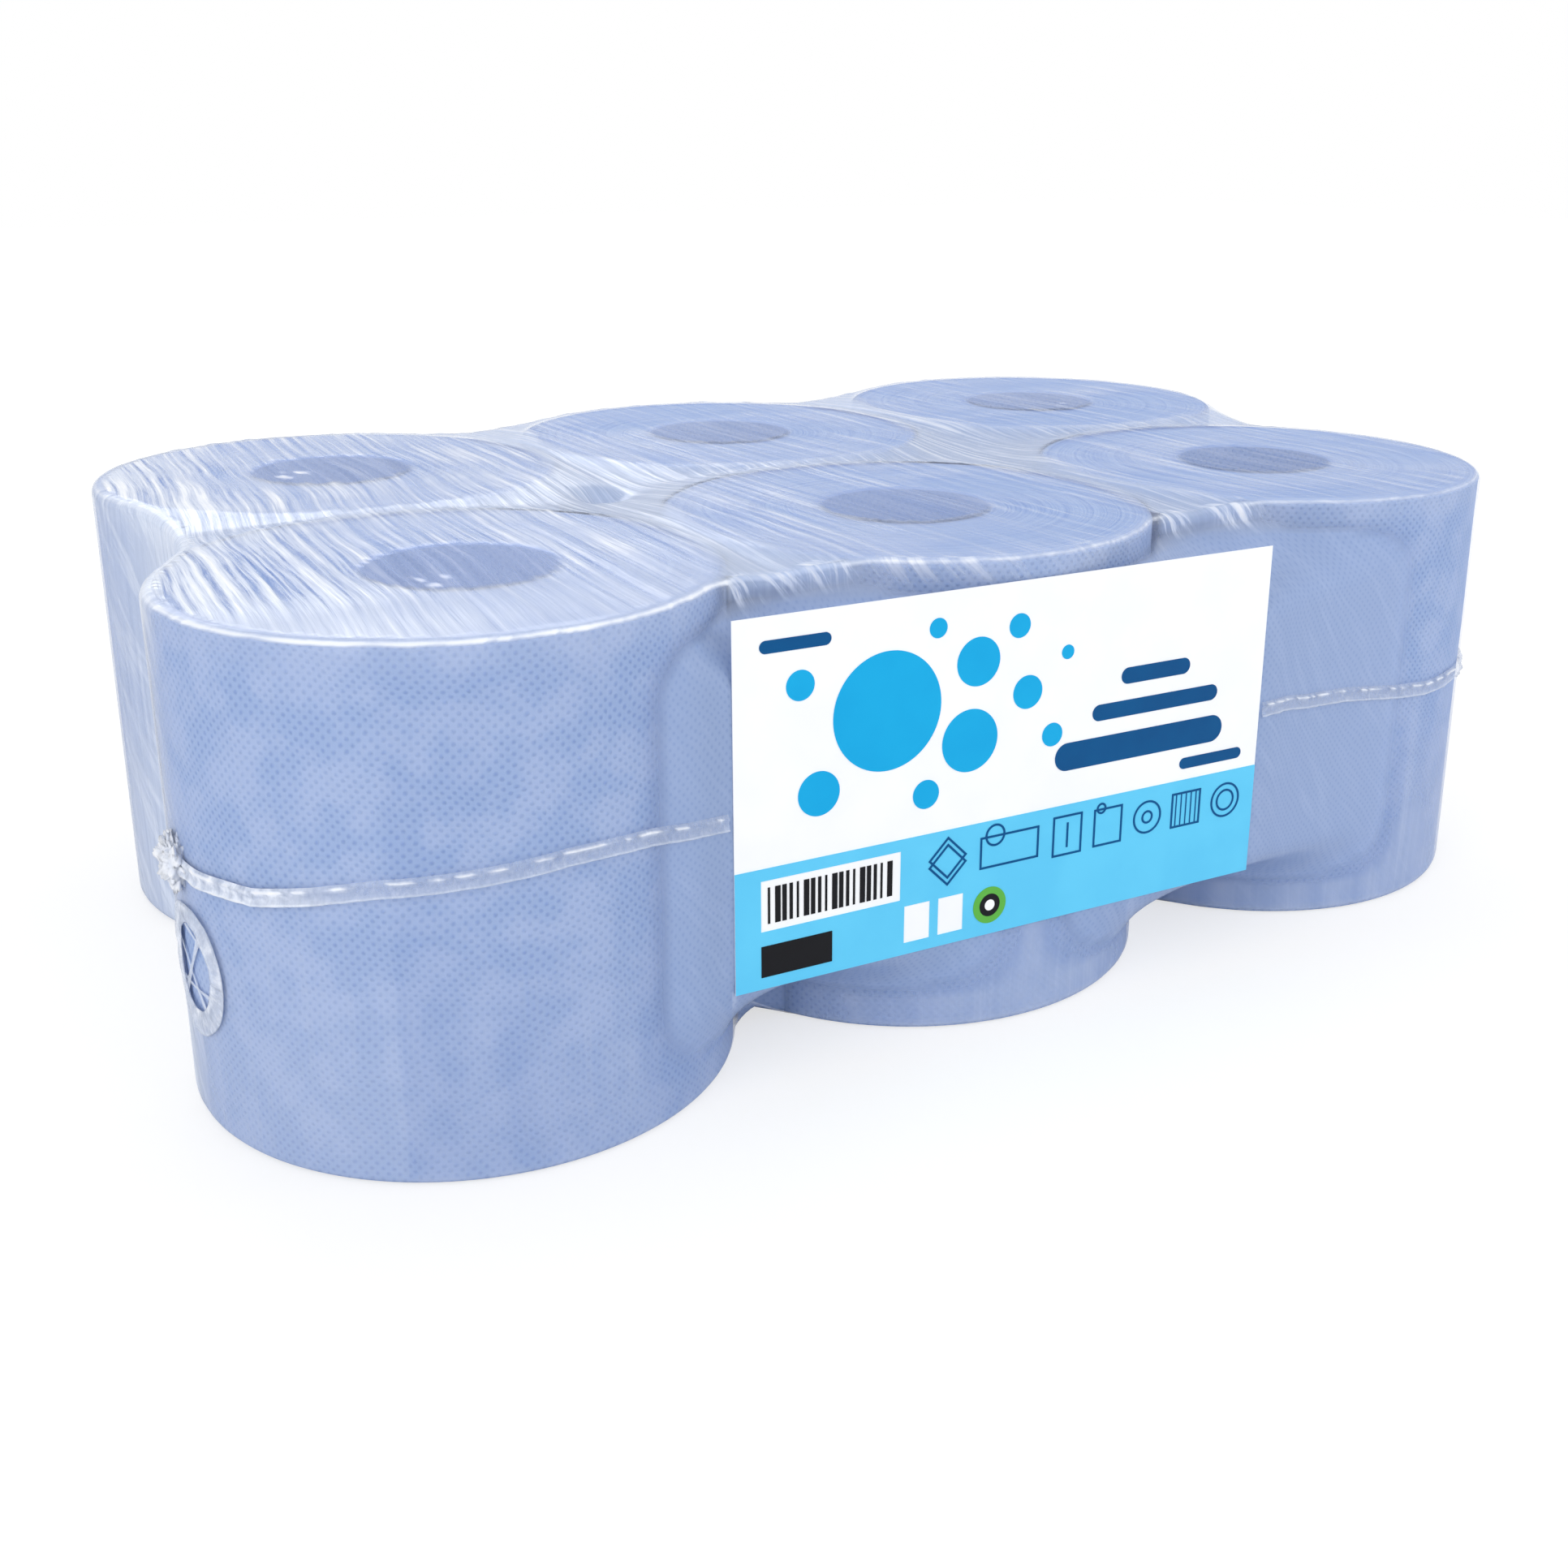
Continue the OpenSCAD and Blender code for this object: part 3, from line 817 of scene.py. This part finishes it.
lid_numbers, lid_inner = lid_index(lid_order, (LEVELS - 1) * COLUMNS, len(wall_points), lid_points)
lid_xy = lid_points[lid_inner]
lid_xyz = np.column_stack([lid_xy, lid_height(lid_xy[:, 0], lid_xy[:, 1])])
foot_numbers, foot_inner = lid_index(foot_order, 0, len(wall_points) + len(lid_xyz), foot_points)
foot_xy = foot_points[foot_inner]
foot_lift = 0.3 * np.clip(outside_rolls(foot_xy[:, 0], foot_xy[:, 1]), 0, 20)
foot_xyz = np.column_stack([foot_xy, FILM_BOTTOM + foot_lift])
film_points = np.concatenate([wall_points, lid_xyz, foot_xyz])
film_faces = [face for face in ring_faces(LEVELS, COLUMNS) if not in_vent(face)]
film_faces += [tuple(int(lid_numbers[i]) for i in face) for face in lid_faces]
film_faces += [tuple(int(foot_numbers[i]) for i in reversed(face)) for face in foot_faces]
print("film:", len(film_points), "points,", len(film_faces), "faces")

# %% [markdown]
# How milky the film looks changes from place to place: nearly clear over the sides, hazier with fine
# pleats on top and toward the left end, and almost white at the rims and above the label, where
# painted highlights lie on it, as they do along the pleats and strokes. Where it stands off the paper
# beside the label and in the grooves, the shaded gap behind it is covered with painted lit paper
# colour, with painted pits beside the label, and over the bores it carries a painted shade of the bore.
# These places are stored on the points as masks, and the material reads them.

# %% Places on the film
zone_x, zone_y, zone_z = film_points.T
ring_stop = LEVELS * COLUMNS
is_wall = np.arange(len(film_points)) < ring_stop
is_front = np.zeros(len(film_points), bool)
is_front[:ring_stop] = (run_of == "front")[np.arange(ring_stop) % COLUMNS]
on_top = ~is_wall & (zone_z > ROLL_R)
front_row = zone_y < fl[1]
from_axes = np.hypot(zone_x[:, None] - all_axes[:, 0], zone_y[:, None] - all_axes[:, 1])
nearest, second = np.sort(from_axes, axis=1)[:, :2].T
near_two = 1 - smooth_step(second - ROLL_R, 10, 55)
bridged = smooth_step(nearest - ROLL_R, 1, 6)
groove = near_two * smooth_step(nearest - ROLL_R, -15, -4)
groove = np.maximum(smooth_step(nearest - ROLL_R, -5, 1), groove) * on_top
beside_label = is_front * (1 - smooth_step(zone_z, label_high_z - 6, label_high_z + 3))
# Beside the label the film stands off the paper over a shaded gap, which gets painted lit paper colour and
# painted pits.
low_front = beside_label * smooth_step(nearest - FILM_R, 0.0, 2.2)
front_paper_paint = beside_label * smooth_step(nearest - FILM_R, -0.2, 0.3)
high_front = is_front * bridged * smooth_step(zone_z, label_high_z - 4, label_high_z + 4)
bore_centres = all_axes.copy()
bore_centres[0] += BORE_SHIFT * np.array([math.cos(BORE_TOWARD), math.sin(BORE_TOWARD)])
from_bores = np.hypot(zone_x[:, None] - bore_centres[:, 0], zone_y[:, None] - bore_centres[:, 1])
over_bore = (1 - smooth_step(from_bores.min(axis=1), BORE_R + 0.5, BORE_R + 2.5)) * on_top
from_top = np.full(len(film_points), 99.0)
from_top[:ring_stop] = (wall_top[None, :] - wall_z).ravel()
leftward = smooth_step(-zone_x, -60, 200)
at_left = smooth_step(-zone_x, 225, 300)
open_gap = groove * np.maximum(smooth_step(zone_y, 60, 120), smooth_step(zone_x, 260, 320))
left_end_side = smooth_step(zone_y, fl[1] - 25, fl[1] + 35) * (0.74 - 0.42 * smooth_step(zone_y, 30, 120))
left_end_side = left_end_side * smooth_step(-zone_x, 110, 310) * is_wall
print("points on the wall:", int(is_wall.sum()), "on top:", int(on_top.sum()))

# %% Haze, with painted lit paper over shaded gaps and painted shade over the bores
SIDE_HAZE = 0.06
FOOT_HAZE_AND_PAINTED_LIGHT = 0.20
BORE_SHADE_COVER = 0.60
# Over the grooves and gaps between rolls the film is nearly opaque, so its painted lit paper colour covers
# the shade there.
GROOVE_PAINT_COVER = 0.80
GAP_PAINT_COVER = 0.92
right_front = (zone_x > 120) * (zone_y < 0)
patch = soft_noise(zone_x * 0.016, zone_y * 0.03, 8)
patch = patch + 0.5 * soft_noise(zone_x * 0.04, zone_y * 0.07, 10) - 0.75
top_haze = 0.13 + 0.32 * leftward + 0.10 * smooth_step(zone_x, 120, 200) * (zone_y < 0)
top_haze = top_haze + 0.34 * patch * (1 - 0.6 * leftward) + 0.30 * at_left
top_haze = np.maximum.reduce([top_haze, GROOVE_PAINT_COVER * groove, GAP_PAINT_COVER * open_gap])
# Over the bores the cover carries a painted shade of the bore's inside, thinner over the right front
# bores.
bore_shade_cover = BORE_SHADE_COVER - 0.18 * right_front
haze_and_paint = np.where(on_top, top_haze * (1 - over_bore) + bore_shade_cover * over_bore, SIDE_HAZE)
haze_and_paint = haze_and_paint + left_end_side + is_wall * 0.12 * (1 - smooth_step(from_top, 4, 18))
# Low on the wall the film is hazier: partly the film's own haze and partly painted light that lifts the
# shade near the floor.
foot_haze_and_painted_light = (FOOT_HAZE_AND_PAINTED_LIGHT + 0.18 * smooth_step(zone_x, -130, -60)) * is_wall
haze_and_paint = haze_and_paint + foot_haze_and_painted_light * (1 - smooth_step(zone_z, 25, 120)) * (1 - low_front)
corner_haze = (0.20 + 0.28 * leftward) * is_wall * (1 - smooth_step(from_top, 0.4, 3.0))
# Beside the label the same cover carries painted lit paper colour over the shaded gap.
haze_and_paint = np.maximum.reduce([haze_and_paint, 0.80 * low_front, corner_haze]) + 0.55 * high_front
haze_and_paint = np.clip(haze_and_paint, 0.03, 0.92)
# The paper colour on the film is painted lit paper, laid over the shaded grooves, gaps and the space
# beside and above the label.
groove_paper_paint = (0.95 - 0.30 * leftward) * groove
paper_paint = np.maximum.reduce([groove_paper_paint, open_gap, front_paper_paint, 0.75 * high_front])
print("haze from", round(float(haze_and_paint.min()), 2), "to", round(float(haze_and_paint.max()), 2))

# %% Painted highlights: white rims, glints over three bores and strokes; and the pleats
GLINTS = ((0, (-17.0, -17.0), 13.0), (3, (-22.0, -4.0), 12.0), (5, (4.0, -24.0), 6.0))
# A white painted highlight runs along the wall's top rim, strongest on the front row toward the left.
rim_share = 0.30 + 0.25 * front_row + 0.40 * front_row * smooth_step(-zone_x, 90, 130)
rim = is_wall * smooth_step(from_top, 0.1, 0.7) * (1 - smooth_step(from_top, 1.1, 2.3))
rough_edge = soft_noise(zone_x * 0.35 + zone_y * 0.35, zone_z * 0.3, 9)
milk_and_highlight = rim * rim_share * (1 - 0.9 * bridged) * (0.35 + 0.8 * rough_edge)
# Painted glints: white specks over three of the bores.
speckle = smooth_step(soft_noise(zone_x * 0.42, zone_y * 0.3, 15), 0.60, 0.78)
for bore, aside, reach in GLINTS:
    glint = bore_centres[bore] + aside
    away = np.hypot(zone_x - glint[0], zone_y - glint[1])
    milk_and_highlight = milk_and_highlight + on_top * speckle * (1 - smooth_step(away, 0.4 * reach, reach))
# Painted highlight strokes: white streaks on the wall above the label and over the left end.
highlight_stroke = np.where(is_wall, 0.03 + 0.8 * high_front + 0.3 * left_end_side, 0.0)
over_label = is_front * (1 - low_front) * smooth_step(zone_z, label_high_z - 4, label_high_z + 6)
over_label = over_label * (1 - smooth_step(zone_x, -20, 40)) * smooth_step(zone_x, -130, -110)
highlight_stroke = highlight_stroke + 0.35 * over_label
# The pleats have real relief, and the white lines along them are painted highlights.
top_pleat = 0.75 + 0.15 * leftward + 0.35 * at_left
pleat = np.where(is_wall, 0.10 + 0.25 * left_end_side + 0.25 * high_front, top_pleat)
pleat = pleat * np.where(on_top, 1 - 0.65 * smooth_step(fl[1] - zone_y, 10, 50) * leftward, 1)
pleat = pleat * np.where(is_wall | on_top, 1, 0.2) * (1 - 0.7 * over_bore) * (1 - low_front)
film_masks = {
    "haze_and_paint": haze_and_paint, "pleat": pleat, "milk_and_highlight": milk_and_highlight, "paper_paint": paper_paint, "highlight_stroke": highlight_stroke, "printed": low_front,
    "bore_shade_paint": over_bore,
}
print("masks:", sorted(film_masks))

# %% Surface millimetres of the film
corner_uv = []
for face in film_faces:
    on_wall = all(i < ring_stop for i in face) and len(face) == 4
    seam_face = on_wall and any(i % COLUMNS == COLUMNS - 1 for i in face)
    for i in face:
        if on_wall:
            around = gaps.sum() if seam_face and i % COLUMNS == 0 else along_wall[i % COLUMNS]
            corner_uv.append((around, zone_z[i]))
        else:
            corner_uv.append((float(across_creases(zone_x[i], zone_y[i])), zone_y[i]))
print("film corners:", len(corner_uv))

# %% Group: film pleats
pleats, pleats_in, pleats_out, w = new_group(
    "film pleats",
    [
        ("Vector", "Vector", None), ("Across", "Float", 0.3), ("Along", "Float", 0.006),
        ("Sharpness", "Float", 0.2),
    ],
    ["Lines", "Grooves", "Height"],
)
bend = w.noise(pleats_in["Vector"], 0.012, 1.0)
across_mm, along_mm, _ = w.split(pleats_in["Vector"])
across_mm = w.plus(across_mm, w.times(bend, 10.0))
stretched_mm = w.join(
    w.times(across_mm, pleats_in["Across"]), w.times(along_mm, pleats_in["Along"])
)
coarse = w.noise(stretched_mm, 1.0, 4.0, 0.65)
patchy = w.noise(pleats_in["Vector"], 0.016, 2.0)
sharp_edge = w.plus(0.5, pleats_in["Sharpness"])
lines = w.ramp(coarse, 0.46, sharp_edge)
gathering = w.ramp(patchy, 0.3, 0.62, 0.35, 1.0)
w.feed(pleats_out["Lines"], w.times(lines, gathering))
w.feed(pleats_out["Grooves"], w.times(w.ramp(coarse, 0.5, 0.34), gathering))
w.feed(pleats_out["Height"], coarse)
print("group:", pleats.name)

# %% Film materials
CLEAR = srgb(208, 220, 242)
MILKY_AND_HIGHLIGHT = srgb(248, 250, 255)
LIT_PAPER_PAINT = srgb(156, 178, 220)
BORE_SHADE_PAINT = srgb(104, 142, 212)
GLANCE = 0.12
MOST_OPAQUE = 0.97


def film_material(name, pleat_highlight, roughness, across, along):
    """Clear film: its opacity comes from haze, pleats and glancing angle; painted highlights, painted lit
    paper and a painted bore shade colour it.
    """
    material, shader, w = new_material(name)
    mm = w.surface_mm()
    lines, grooves, height = w.place(pleats, Vector=mm, Across=across, Along=along)
    pleat, paper_paint = w.attribute("pleat"), w.attribute("paper_paint")
    pleat_highlight_mask = w.times(lines, pleat)
    groove_mask = w.times(w.times(grooves, pleat), w.minus(1.0, paper_paint))
    along_mm, up_mm, _ = w.split(mm)
    leaning_mm = w.plus(along_mm, w.times(up_mm, 0.8))
    slanted_mm = w.join(leaning_mm, w.minus(up_mm, along_mm))
    highlight_strokes = w.place(pleats, Vector=slanted_mm, Across=0.11, Along=0.012, Sharpness=0.14)["Lines"]
    milk_and_highlight_mask = w.plus(w.attribute("milk_and_highlight"), w.times(highlight_strokes, w.attribute("highlight_stroke")))
    normal = w.bump(w.times(height, pleat), 0.55, 2.2 * MM)
    edge_on = w.node("ShaderNodeLayerWeight", Blend=0.35, Normal=normal).outputs["Fresnel"]
    cleared = w.minus(1.0, w.times(groove_mask, 0.85))
    opacity = w.times(w.attribute("haze_and_paint"), cleared)
    opacity = w.plus(opacity, w.times(pleat_highlight_mask, pleat_highlight))
    opacity = w.plus(opacity, milk_and_highlight_mask)
    opacity = w.plus(opacity, w.times(edge_on, GLANCE))
    opacity = w.math("MINIMUM", opacity, MOST_OPAQUE)
    # The white is painted highlight along pleats, rims, strokes and glints, and the milky white of seams
    # and knots.
    milk_and_highlight_white = w.plus(w.times(pleat_highlight_mask, 0.8), milk_and_highlight_mask, clamp=True)
    # Beside the label the film is painted with the paper's pits and lit colour, over the shaded gap behind
    # it.
    pressed = w.times(w.place(pits, Vector=mm)["Mask"], w.attribute("printed"))
    behind = w.blend(paper_paint, CLEAR, w.blend(w.times(pressed, 0.4), LIT_PAPER_PAINT, PIT_SHADE))
    # Over the bores the film takes a painted shade of the bore's inside.
    behind = w.blend(w.attribute("bore_shade_paint"), behind, BORE_SHADE_PAINT)
    colour = w.blend(milk_and_highlight_white, behind, MILKY_AND_HIGHLIGHT)
    w.fill(shader, Base_Color=colour, Alpha=opacity, Normal=normal, Roughness=roughness, IOR=1.5)
    return material


film_look = film_material("shrink_film", 0.45, 0.18, 0.26, 0.006)
seam_look = film_material("weld_seam", 0.4, 0.22, 0.5, 0.3)
print("film materials:", film_look.name, seam_look.name)

# %% Make the film
film = make_piece("clear_shrink_film", film_points, film_faces, corner_uv, film_masks)
film.data.materials.append(film_look)
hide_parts("shrink_film")
film.visible_shadow = False
triangle_count = sum(len(p.vertices) - 2 for p in film.data.polygons)
print("film triangles:", triangle_count)

# %% [markdown]
# The sleeve of film was closed by a hot wire, which left a weld line round the front and the two
# ends: a thin band of beads. It is a ribbon along the wall's own columns, so it lies on the film
# everywhere, and noise makes its beads uneven.


# %% Helpers for pieces that lie on the wall
def seam_piece(name, points, faces, uv, haze_and_paint, pleat, milk_and_highlight):
    """A piece of thick welded film."""
    piece = make_piece(name, points, faces, uv, {"haze_and_paint": haze_and_paint, "pleat": pleat, "milk_and_highlight": milk_and_highlight})
    piece.data.materials.append(seam_look)
    return piece


def wall_frame(column, z):
    """Points on the wall at given columns and heights, with the outward way there."""
    place = free[column] + (held[column] - free[column]) * held_share(z)[:, None]
    ahead = np.gradient(place, axis=0)
    out = np.stack([ahead[:, 1], -ahead[:, 0]], 1) / np.hypot(*ahead.T)[:, None]
    return place, out


def ribbon(name, column, height, section, beads):
    """A strip along the wall; section gives (up, out, glow), and beads scales how far it stands out."""
    place, out = wall_frame(column, height)
    rows = []
    for index, (up, proud, _) in enumerate(section):
        bead = soft_noise(along_wall[column] * 0.35, np.full(len(column), index * 0.6), 11) - 0.5
        xy = place + out * (0.35 + proud * (1 + beads * bead))[:, None]
        rows.append(np.column_stack([xy, height + up]))
    points = np.array(rows).transpose(1, 0, 2).reshape(-1, 3)
    uv = np.array([(along_wall[c], 10 + up) for c in column for up, _, _ in section])
    faces = ring_faces(len(column), len(section), closed=False)
    gathered = smooth_step(-points[:, 0], 295, 330)
    # The bead crests are whiter: the weld's own milky white with a painted highlight along them, in
    # dashes.
    dash = smooth_step(soft_noise(uv[:, 0] * 0.3, uv[:, 1] * 0.2, 12), 0.35, 0.65)
    line = np.tile([milk_and_highlight_share for _, _, milk_and_highlight_share in section], len(column))
    milk_and_highlight = line * np.where(np.tile([up > 0 for up, _, _ in section], len(column)), dash, 0.8)
    milk_and_highlight = milk_and_highlight + gathered * 0.5 * soft_noise(uv[:, 0] * 0.5, uv[:, 1] * 0.7, 14)
    outer = [tuple(reversed(f)) for f in faces]
    return seam_piece(name, points, outer, uv, 0.3 + 0.2 * gathered, 0.3, milk_and_highlight)


# %% Make the weld seam
# Each row of the section: height, how far it stands out, and its white, the weld's milk with a painted
# highlight on the crests.
SEAM_SECTION = [
    (-3.5, 0.1, 0.0), (-3.0, 1.0, 0.05), (-2.5, 1.5, 0.45), (-1.9, 1.0, 0.1), (-0.8, 0.6, 0.05),
    (0.5, 0.6, 0.05), (1.5, 0.9, 0.2), (2.2, 1.2, 0.7), (2.9, 0.5, 0.1), (3.6, 0.0, 0.0),
]
SEAM_WAY = [
    (-338, 105), (-326, 106), (-315, 110), (-307, 112.5), (-292, 115), (-272, 117), (-234, 120.5),
    (-200, 119), (-162, 115), (-120, 111), (98, 119), (120, 117.5), (150, 115), (190, 109),
    (214, 106.5), (240, 107), (340, 103),
]
SEAM_SWAY = 1.2
SEAM_BEADS = 0.9


def seam_height(x):
    """Height of the seam along the front: it climbs and settles again on the left and on the right."""
    return np.interp(x, *np.array(SEAM_WAY).T)


at_front = free[:, 1] < fl[1] + 6
seam_runs = {
    "weld_seam_left": np.flatnonzero(at_front & (held[:, 0] < label_left_x - 1)),
    "weld_seam_right": np.flatnonzero(at_front & (held[:, 0] > label_right_x + 1)),
}
seams = []
for name, column in seam_runs.items():
    sway = SEAM_SWAY * (soft_noise(along_wall[column] * 0.05, column * 0.0, 13) - 0.5)
    seams.append(ribbon(name, column, seam_height(free[column, 0]) + sway, SEAM_SECTION, SEAM_BEADS))
print("seam pieces:", [s.name for s in seams])

# %% [markdown]
# At each end the wire gathered the film into a small crumpled knot, and low on the left end a vent
# lets the air out as the film shrinks: a hole with a thick, melted rim and a few threads across it.


# %% Make the knots
def crumpled_knot(name, centre, side, size, number):
    """A lump of gathered film: a ball whose surface is pushed in and out by sharp noise."""
    rows, columns = 36, 48
    tilt = np.linspace(0, math.pi, rows)[:, None]
    turn = np.linspace(0, full, columns, endpoint=False)[None, :]
    ridge = np.abs(soft_noise(turn * 2.5 + 0 * tilt, tilt * 4, number) - 0.5) * 2
    fine = np.abs(soft_noise(turn * 6 + 0 * tilt, tilt * 9, number + 1) - 0.5) * 2
    reach = size * (0.62 + 0.45 * ridge + 0.22 * fine)
    x = centre[0] + side * 0.55 * reach * np.sin(tilt) * np.cos(turn)
    y = centre[1] + 1.15 * reach * np.sin(tilt) * np.sin(turn)
    z = centre[2] + 1.0 * reach * np.cos(tilt) + 0 * turn
    points = np.stack([x, y, z], 2).reshape(-1, 3)
    uv = np.stack([turn * size + 0 * tilt, tilt * size + 0 * turn], 2).reshape(-1, 2)
    faces = ring_faces(rows, columns)
    faces = faces if side < 0 else [tuple(reversed(f)) for f in faces]
    # The knot is white: crumpled film's own white, with painted highlights along its ridges.
    return seam_piece(name, points, faces, uv, 0.6, 0.3, 0.45 + 0.5 * ridge.ravel())


crumpled_knot("knot_left", (fl[0] - FILM_R - 0.5, fl[1] + 2, 105.0), -1, 11.0, 21)
crumpled_knot("knot_right", (fr[0] + FILM_R + 0.5, fr[1] + 1, 106.0), 1, 7.0, 24)
print("knots at", round(fl[0] - FILM_R), "and", round(fr[0] + FILM_R), "mm")


# %% Make the vent hole's rim and threads
RIM_THICK = 4.4
THREADS = [(0.4, 2.2, 0.9), (1.0, 3.9, 1.4), (2.7, 5.3, 1.1), (3.6, 5.9, 0.8)]


def on_left_wall(angle, z, out):
    """Points on the left roll's film at an angle and a height."""
    reach = FILM_R + out
    return np.stack([fl[0] + reach * np.cos(angle), fl[1] + reach * np.sin(angle), z], -1)


def vent_rim():
    """A thick uneven ring round the hole, lying on the film."""
    turns, around = 120, 14
    turn = np.linspace(0, full, turns, endpoint=False)[:, None]
    around_angle = np.linspace(0, full, around, endpoint=False)[None, :]
    thick = RIM_THICK + 2.0 * (soft_noise(turn * 2.2, turn * 0, 31) - 0.5)
    spread = thick * np.cos(around_angle)
    lumps = 1 + 0.6 * (soft_noise(turn * 5, around_angle, 32) - 0.5)
    rise = 0.75 * (0.5 + 0.5 * np.sin(around_angle)) * lumps
    wide = VENT["half_wide"] + 0.6 + spread + 1.2 * (soft_noise(turn * 1.3, turn * 0, 33) - 0.5)
    high = VENT["half_high"] + 0.6 + spread + 1.2 * (soft_noise(turn * 1.3, turn * 0, 34) - 0.5)
    angle = vent_angle + wide * np.cos(turn) / FILM_R
    z = VENT["z"] + high * np.sin(turn)
    points = on_left_wall(angle, z, 0.1 + 1.6 * rise).reshape(-1, 3)
    uv = np.stack([turn * 20 + 0 * around_angle, around_angle * 3 + 0 * turn], 2).reshape(-1, 2)
    faces = ring_faces(turns, around, wrapped=True)
    # A painted highlight lies in patches along the rim.
    highlight_noise = soft_noise(turn * 4 + 0 * around_angle, around_angle * 1.5 + 0 * turn, 35)
    milk_and_highlight_share = 0.12 + 0.35 * smooth_step(highlight_noise, 0.4, 0.9)
    return seam_piece("vent_rim", points, faces, uv, 0.25, 0.5, milk_and_highlight_share.ravel())


def vent_thread(number, start, stop, width):
    """A strip of film across the hole, from one turn of the rim to another."""
    count = 24
    way = np.linspace(0, 1, count)
    size = np.array([VENT["half_wide"], VENT["half_high"]])
    first, last = (size * (math.cos(turn), math.sin(turn)) for turn in (start, stop))
    along = last - first
    path = first + along * way[:, None]
    across = np.array([-along[1], along[0]]) / np.hypot(*along)
    out = 0.3 - 0.4 * np.sin(math.pi * way)
    points, uv = [], []
    for side in (-1, 0, 1):
        wide = width * (0.6 + 0.8 * np.abs(way - 0.5) * 2) * side
        flat = path + across * wide[:, None]
        points.append(on_left_wall(vent_angle + flat[:, 0] / FILM_R, VENT["z"] + flat[:, 1], out))
        uv.append(np.column_stack([way * 40, np.full(count, side * 2.0)]))
    faces = ring_faces(3, count, closed=False)
    name = f"vent_thread_{number}"
    return seam_piece(name, np.concatenate(points), faces, np.concatenate(uv), 0.45, 0.4, 0.2)


rim_piece = vent_rim()
threads = [vent_thread(number, *ends) for number, ends in enumerate(THREADS, 1)]
print("vent:", rim_piece.name, len(threads), "threads")

# %% [markdown]
# The label is coated paper, smooth and evenly printed. The printed fields are flat shapes that the
# frame already holds at the right size, so they stay, and only their finish is made here: a slight
# unevenness in the ink and a soft sheen from the coating.


# %% Label materials
LABEL_WHITE = srgb(250, 251, 253)
BLACK = srgb(22, 22, 26)
GREEN = srgb(96, 178, 72)
LABEL_TURN = math.atan(label_slope)
COATING = 0.42


def label_material(name, colour, shade, zones=()):
    """Coated paper in two close colours of one ink; zones are (test, colour) for its other inks."""
    material, shader, w = new_material(name)
    mm = w.object_mm()
    cloud, grain = w.place(fibre, Vector=mm, Cloud_Size=0.04, Grain_Size=2.2)
    ink = w.blend(w.ramp(cloud, 0.3, 0.7), colour, shade)
    x, _, z = w.split(mm)
    across = w.math("DIVIDE", w.minus(x, float(label_left_x)), math.cos(LABEL_TURN))
    up = w.minus(z, float(label_low_z))
    for zone, zone_colour in zones:
        ink = w.blend(zone(w, across, up), ink, zone_colour)
    relief = w.bump(grain, 0.15, 0.05 * MM)
    w.fill(shader, Base_Color=ink, Normal=relief, Specular_IOR_Level=0.15)
    w.fill(shader, Roughness=w.ramp(grain, 0.3, 0.7, COATING, COATING + 0.08))
    return material


# The striped panel and the block under it are printed black, and the disc is green with a dark ring
BLACK_ZONE = (74.0, 50.0)
DISC = (116.0, 13.0)


def black_zone(w, across, up):
    left = w.math("LESS_THAN", across, BLACK_ZONE[0])
    return w.times(left, w.math("LESS_THAN", up, BLACK_ZONE[1]))


def disc_zone(low, high):
    """A ring of the disc, between two radii in millimetres."""
    def zone(w, across, up):
        away = [w.minus(value, middle) for value, middle in zip((across, up), DISC)]
        squares = [w.times(side, side) for side in away]
        radius = w.math("SQRT", w.plus(*squares))
        return w.times(w.math("GREATER_THAN", radius, low), w.math("LESS_THAN", radius, high))
    return zone


MARK_ZONES = [
    (black_zone, BLACK), (disc_zone(-1.0, 9.0), GREEN), (disc_zone(2.4, 5.0), BLACK),
    (disc_zone(-1.0, 2.4), LABEL_WHITE),
]
LABEL_LOOKS = {
    "label": (LABEL_WHITE, srgb(246, 248, 251)),
    "label_band": (srgb(101, 205, 246), srgb(96, 200, 243)),
    "label_discs": (srgb(18, 171, 227), srgb(14, 166, 224)),
    "label_marks": (srgb(0, 83, 139), srgb(0, 76, 132), MARK_ZONES),
}
for node_name, look in LABEL_LOOKS.items():
    finish = label_material(node_name + "_print", *look)
    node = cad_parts[node_name]
    if not node.material_slots:
        node.data.materials.append(finish)
    for material_slot in node.material_slots:
        material_slot.material = finish
print("label finishes:", sorted(LABEL_LOOKS))
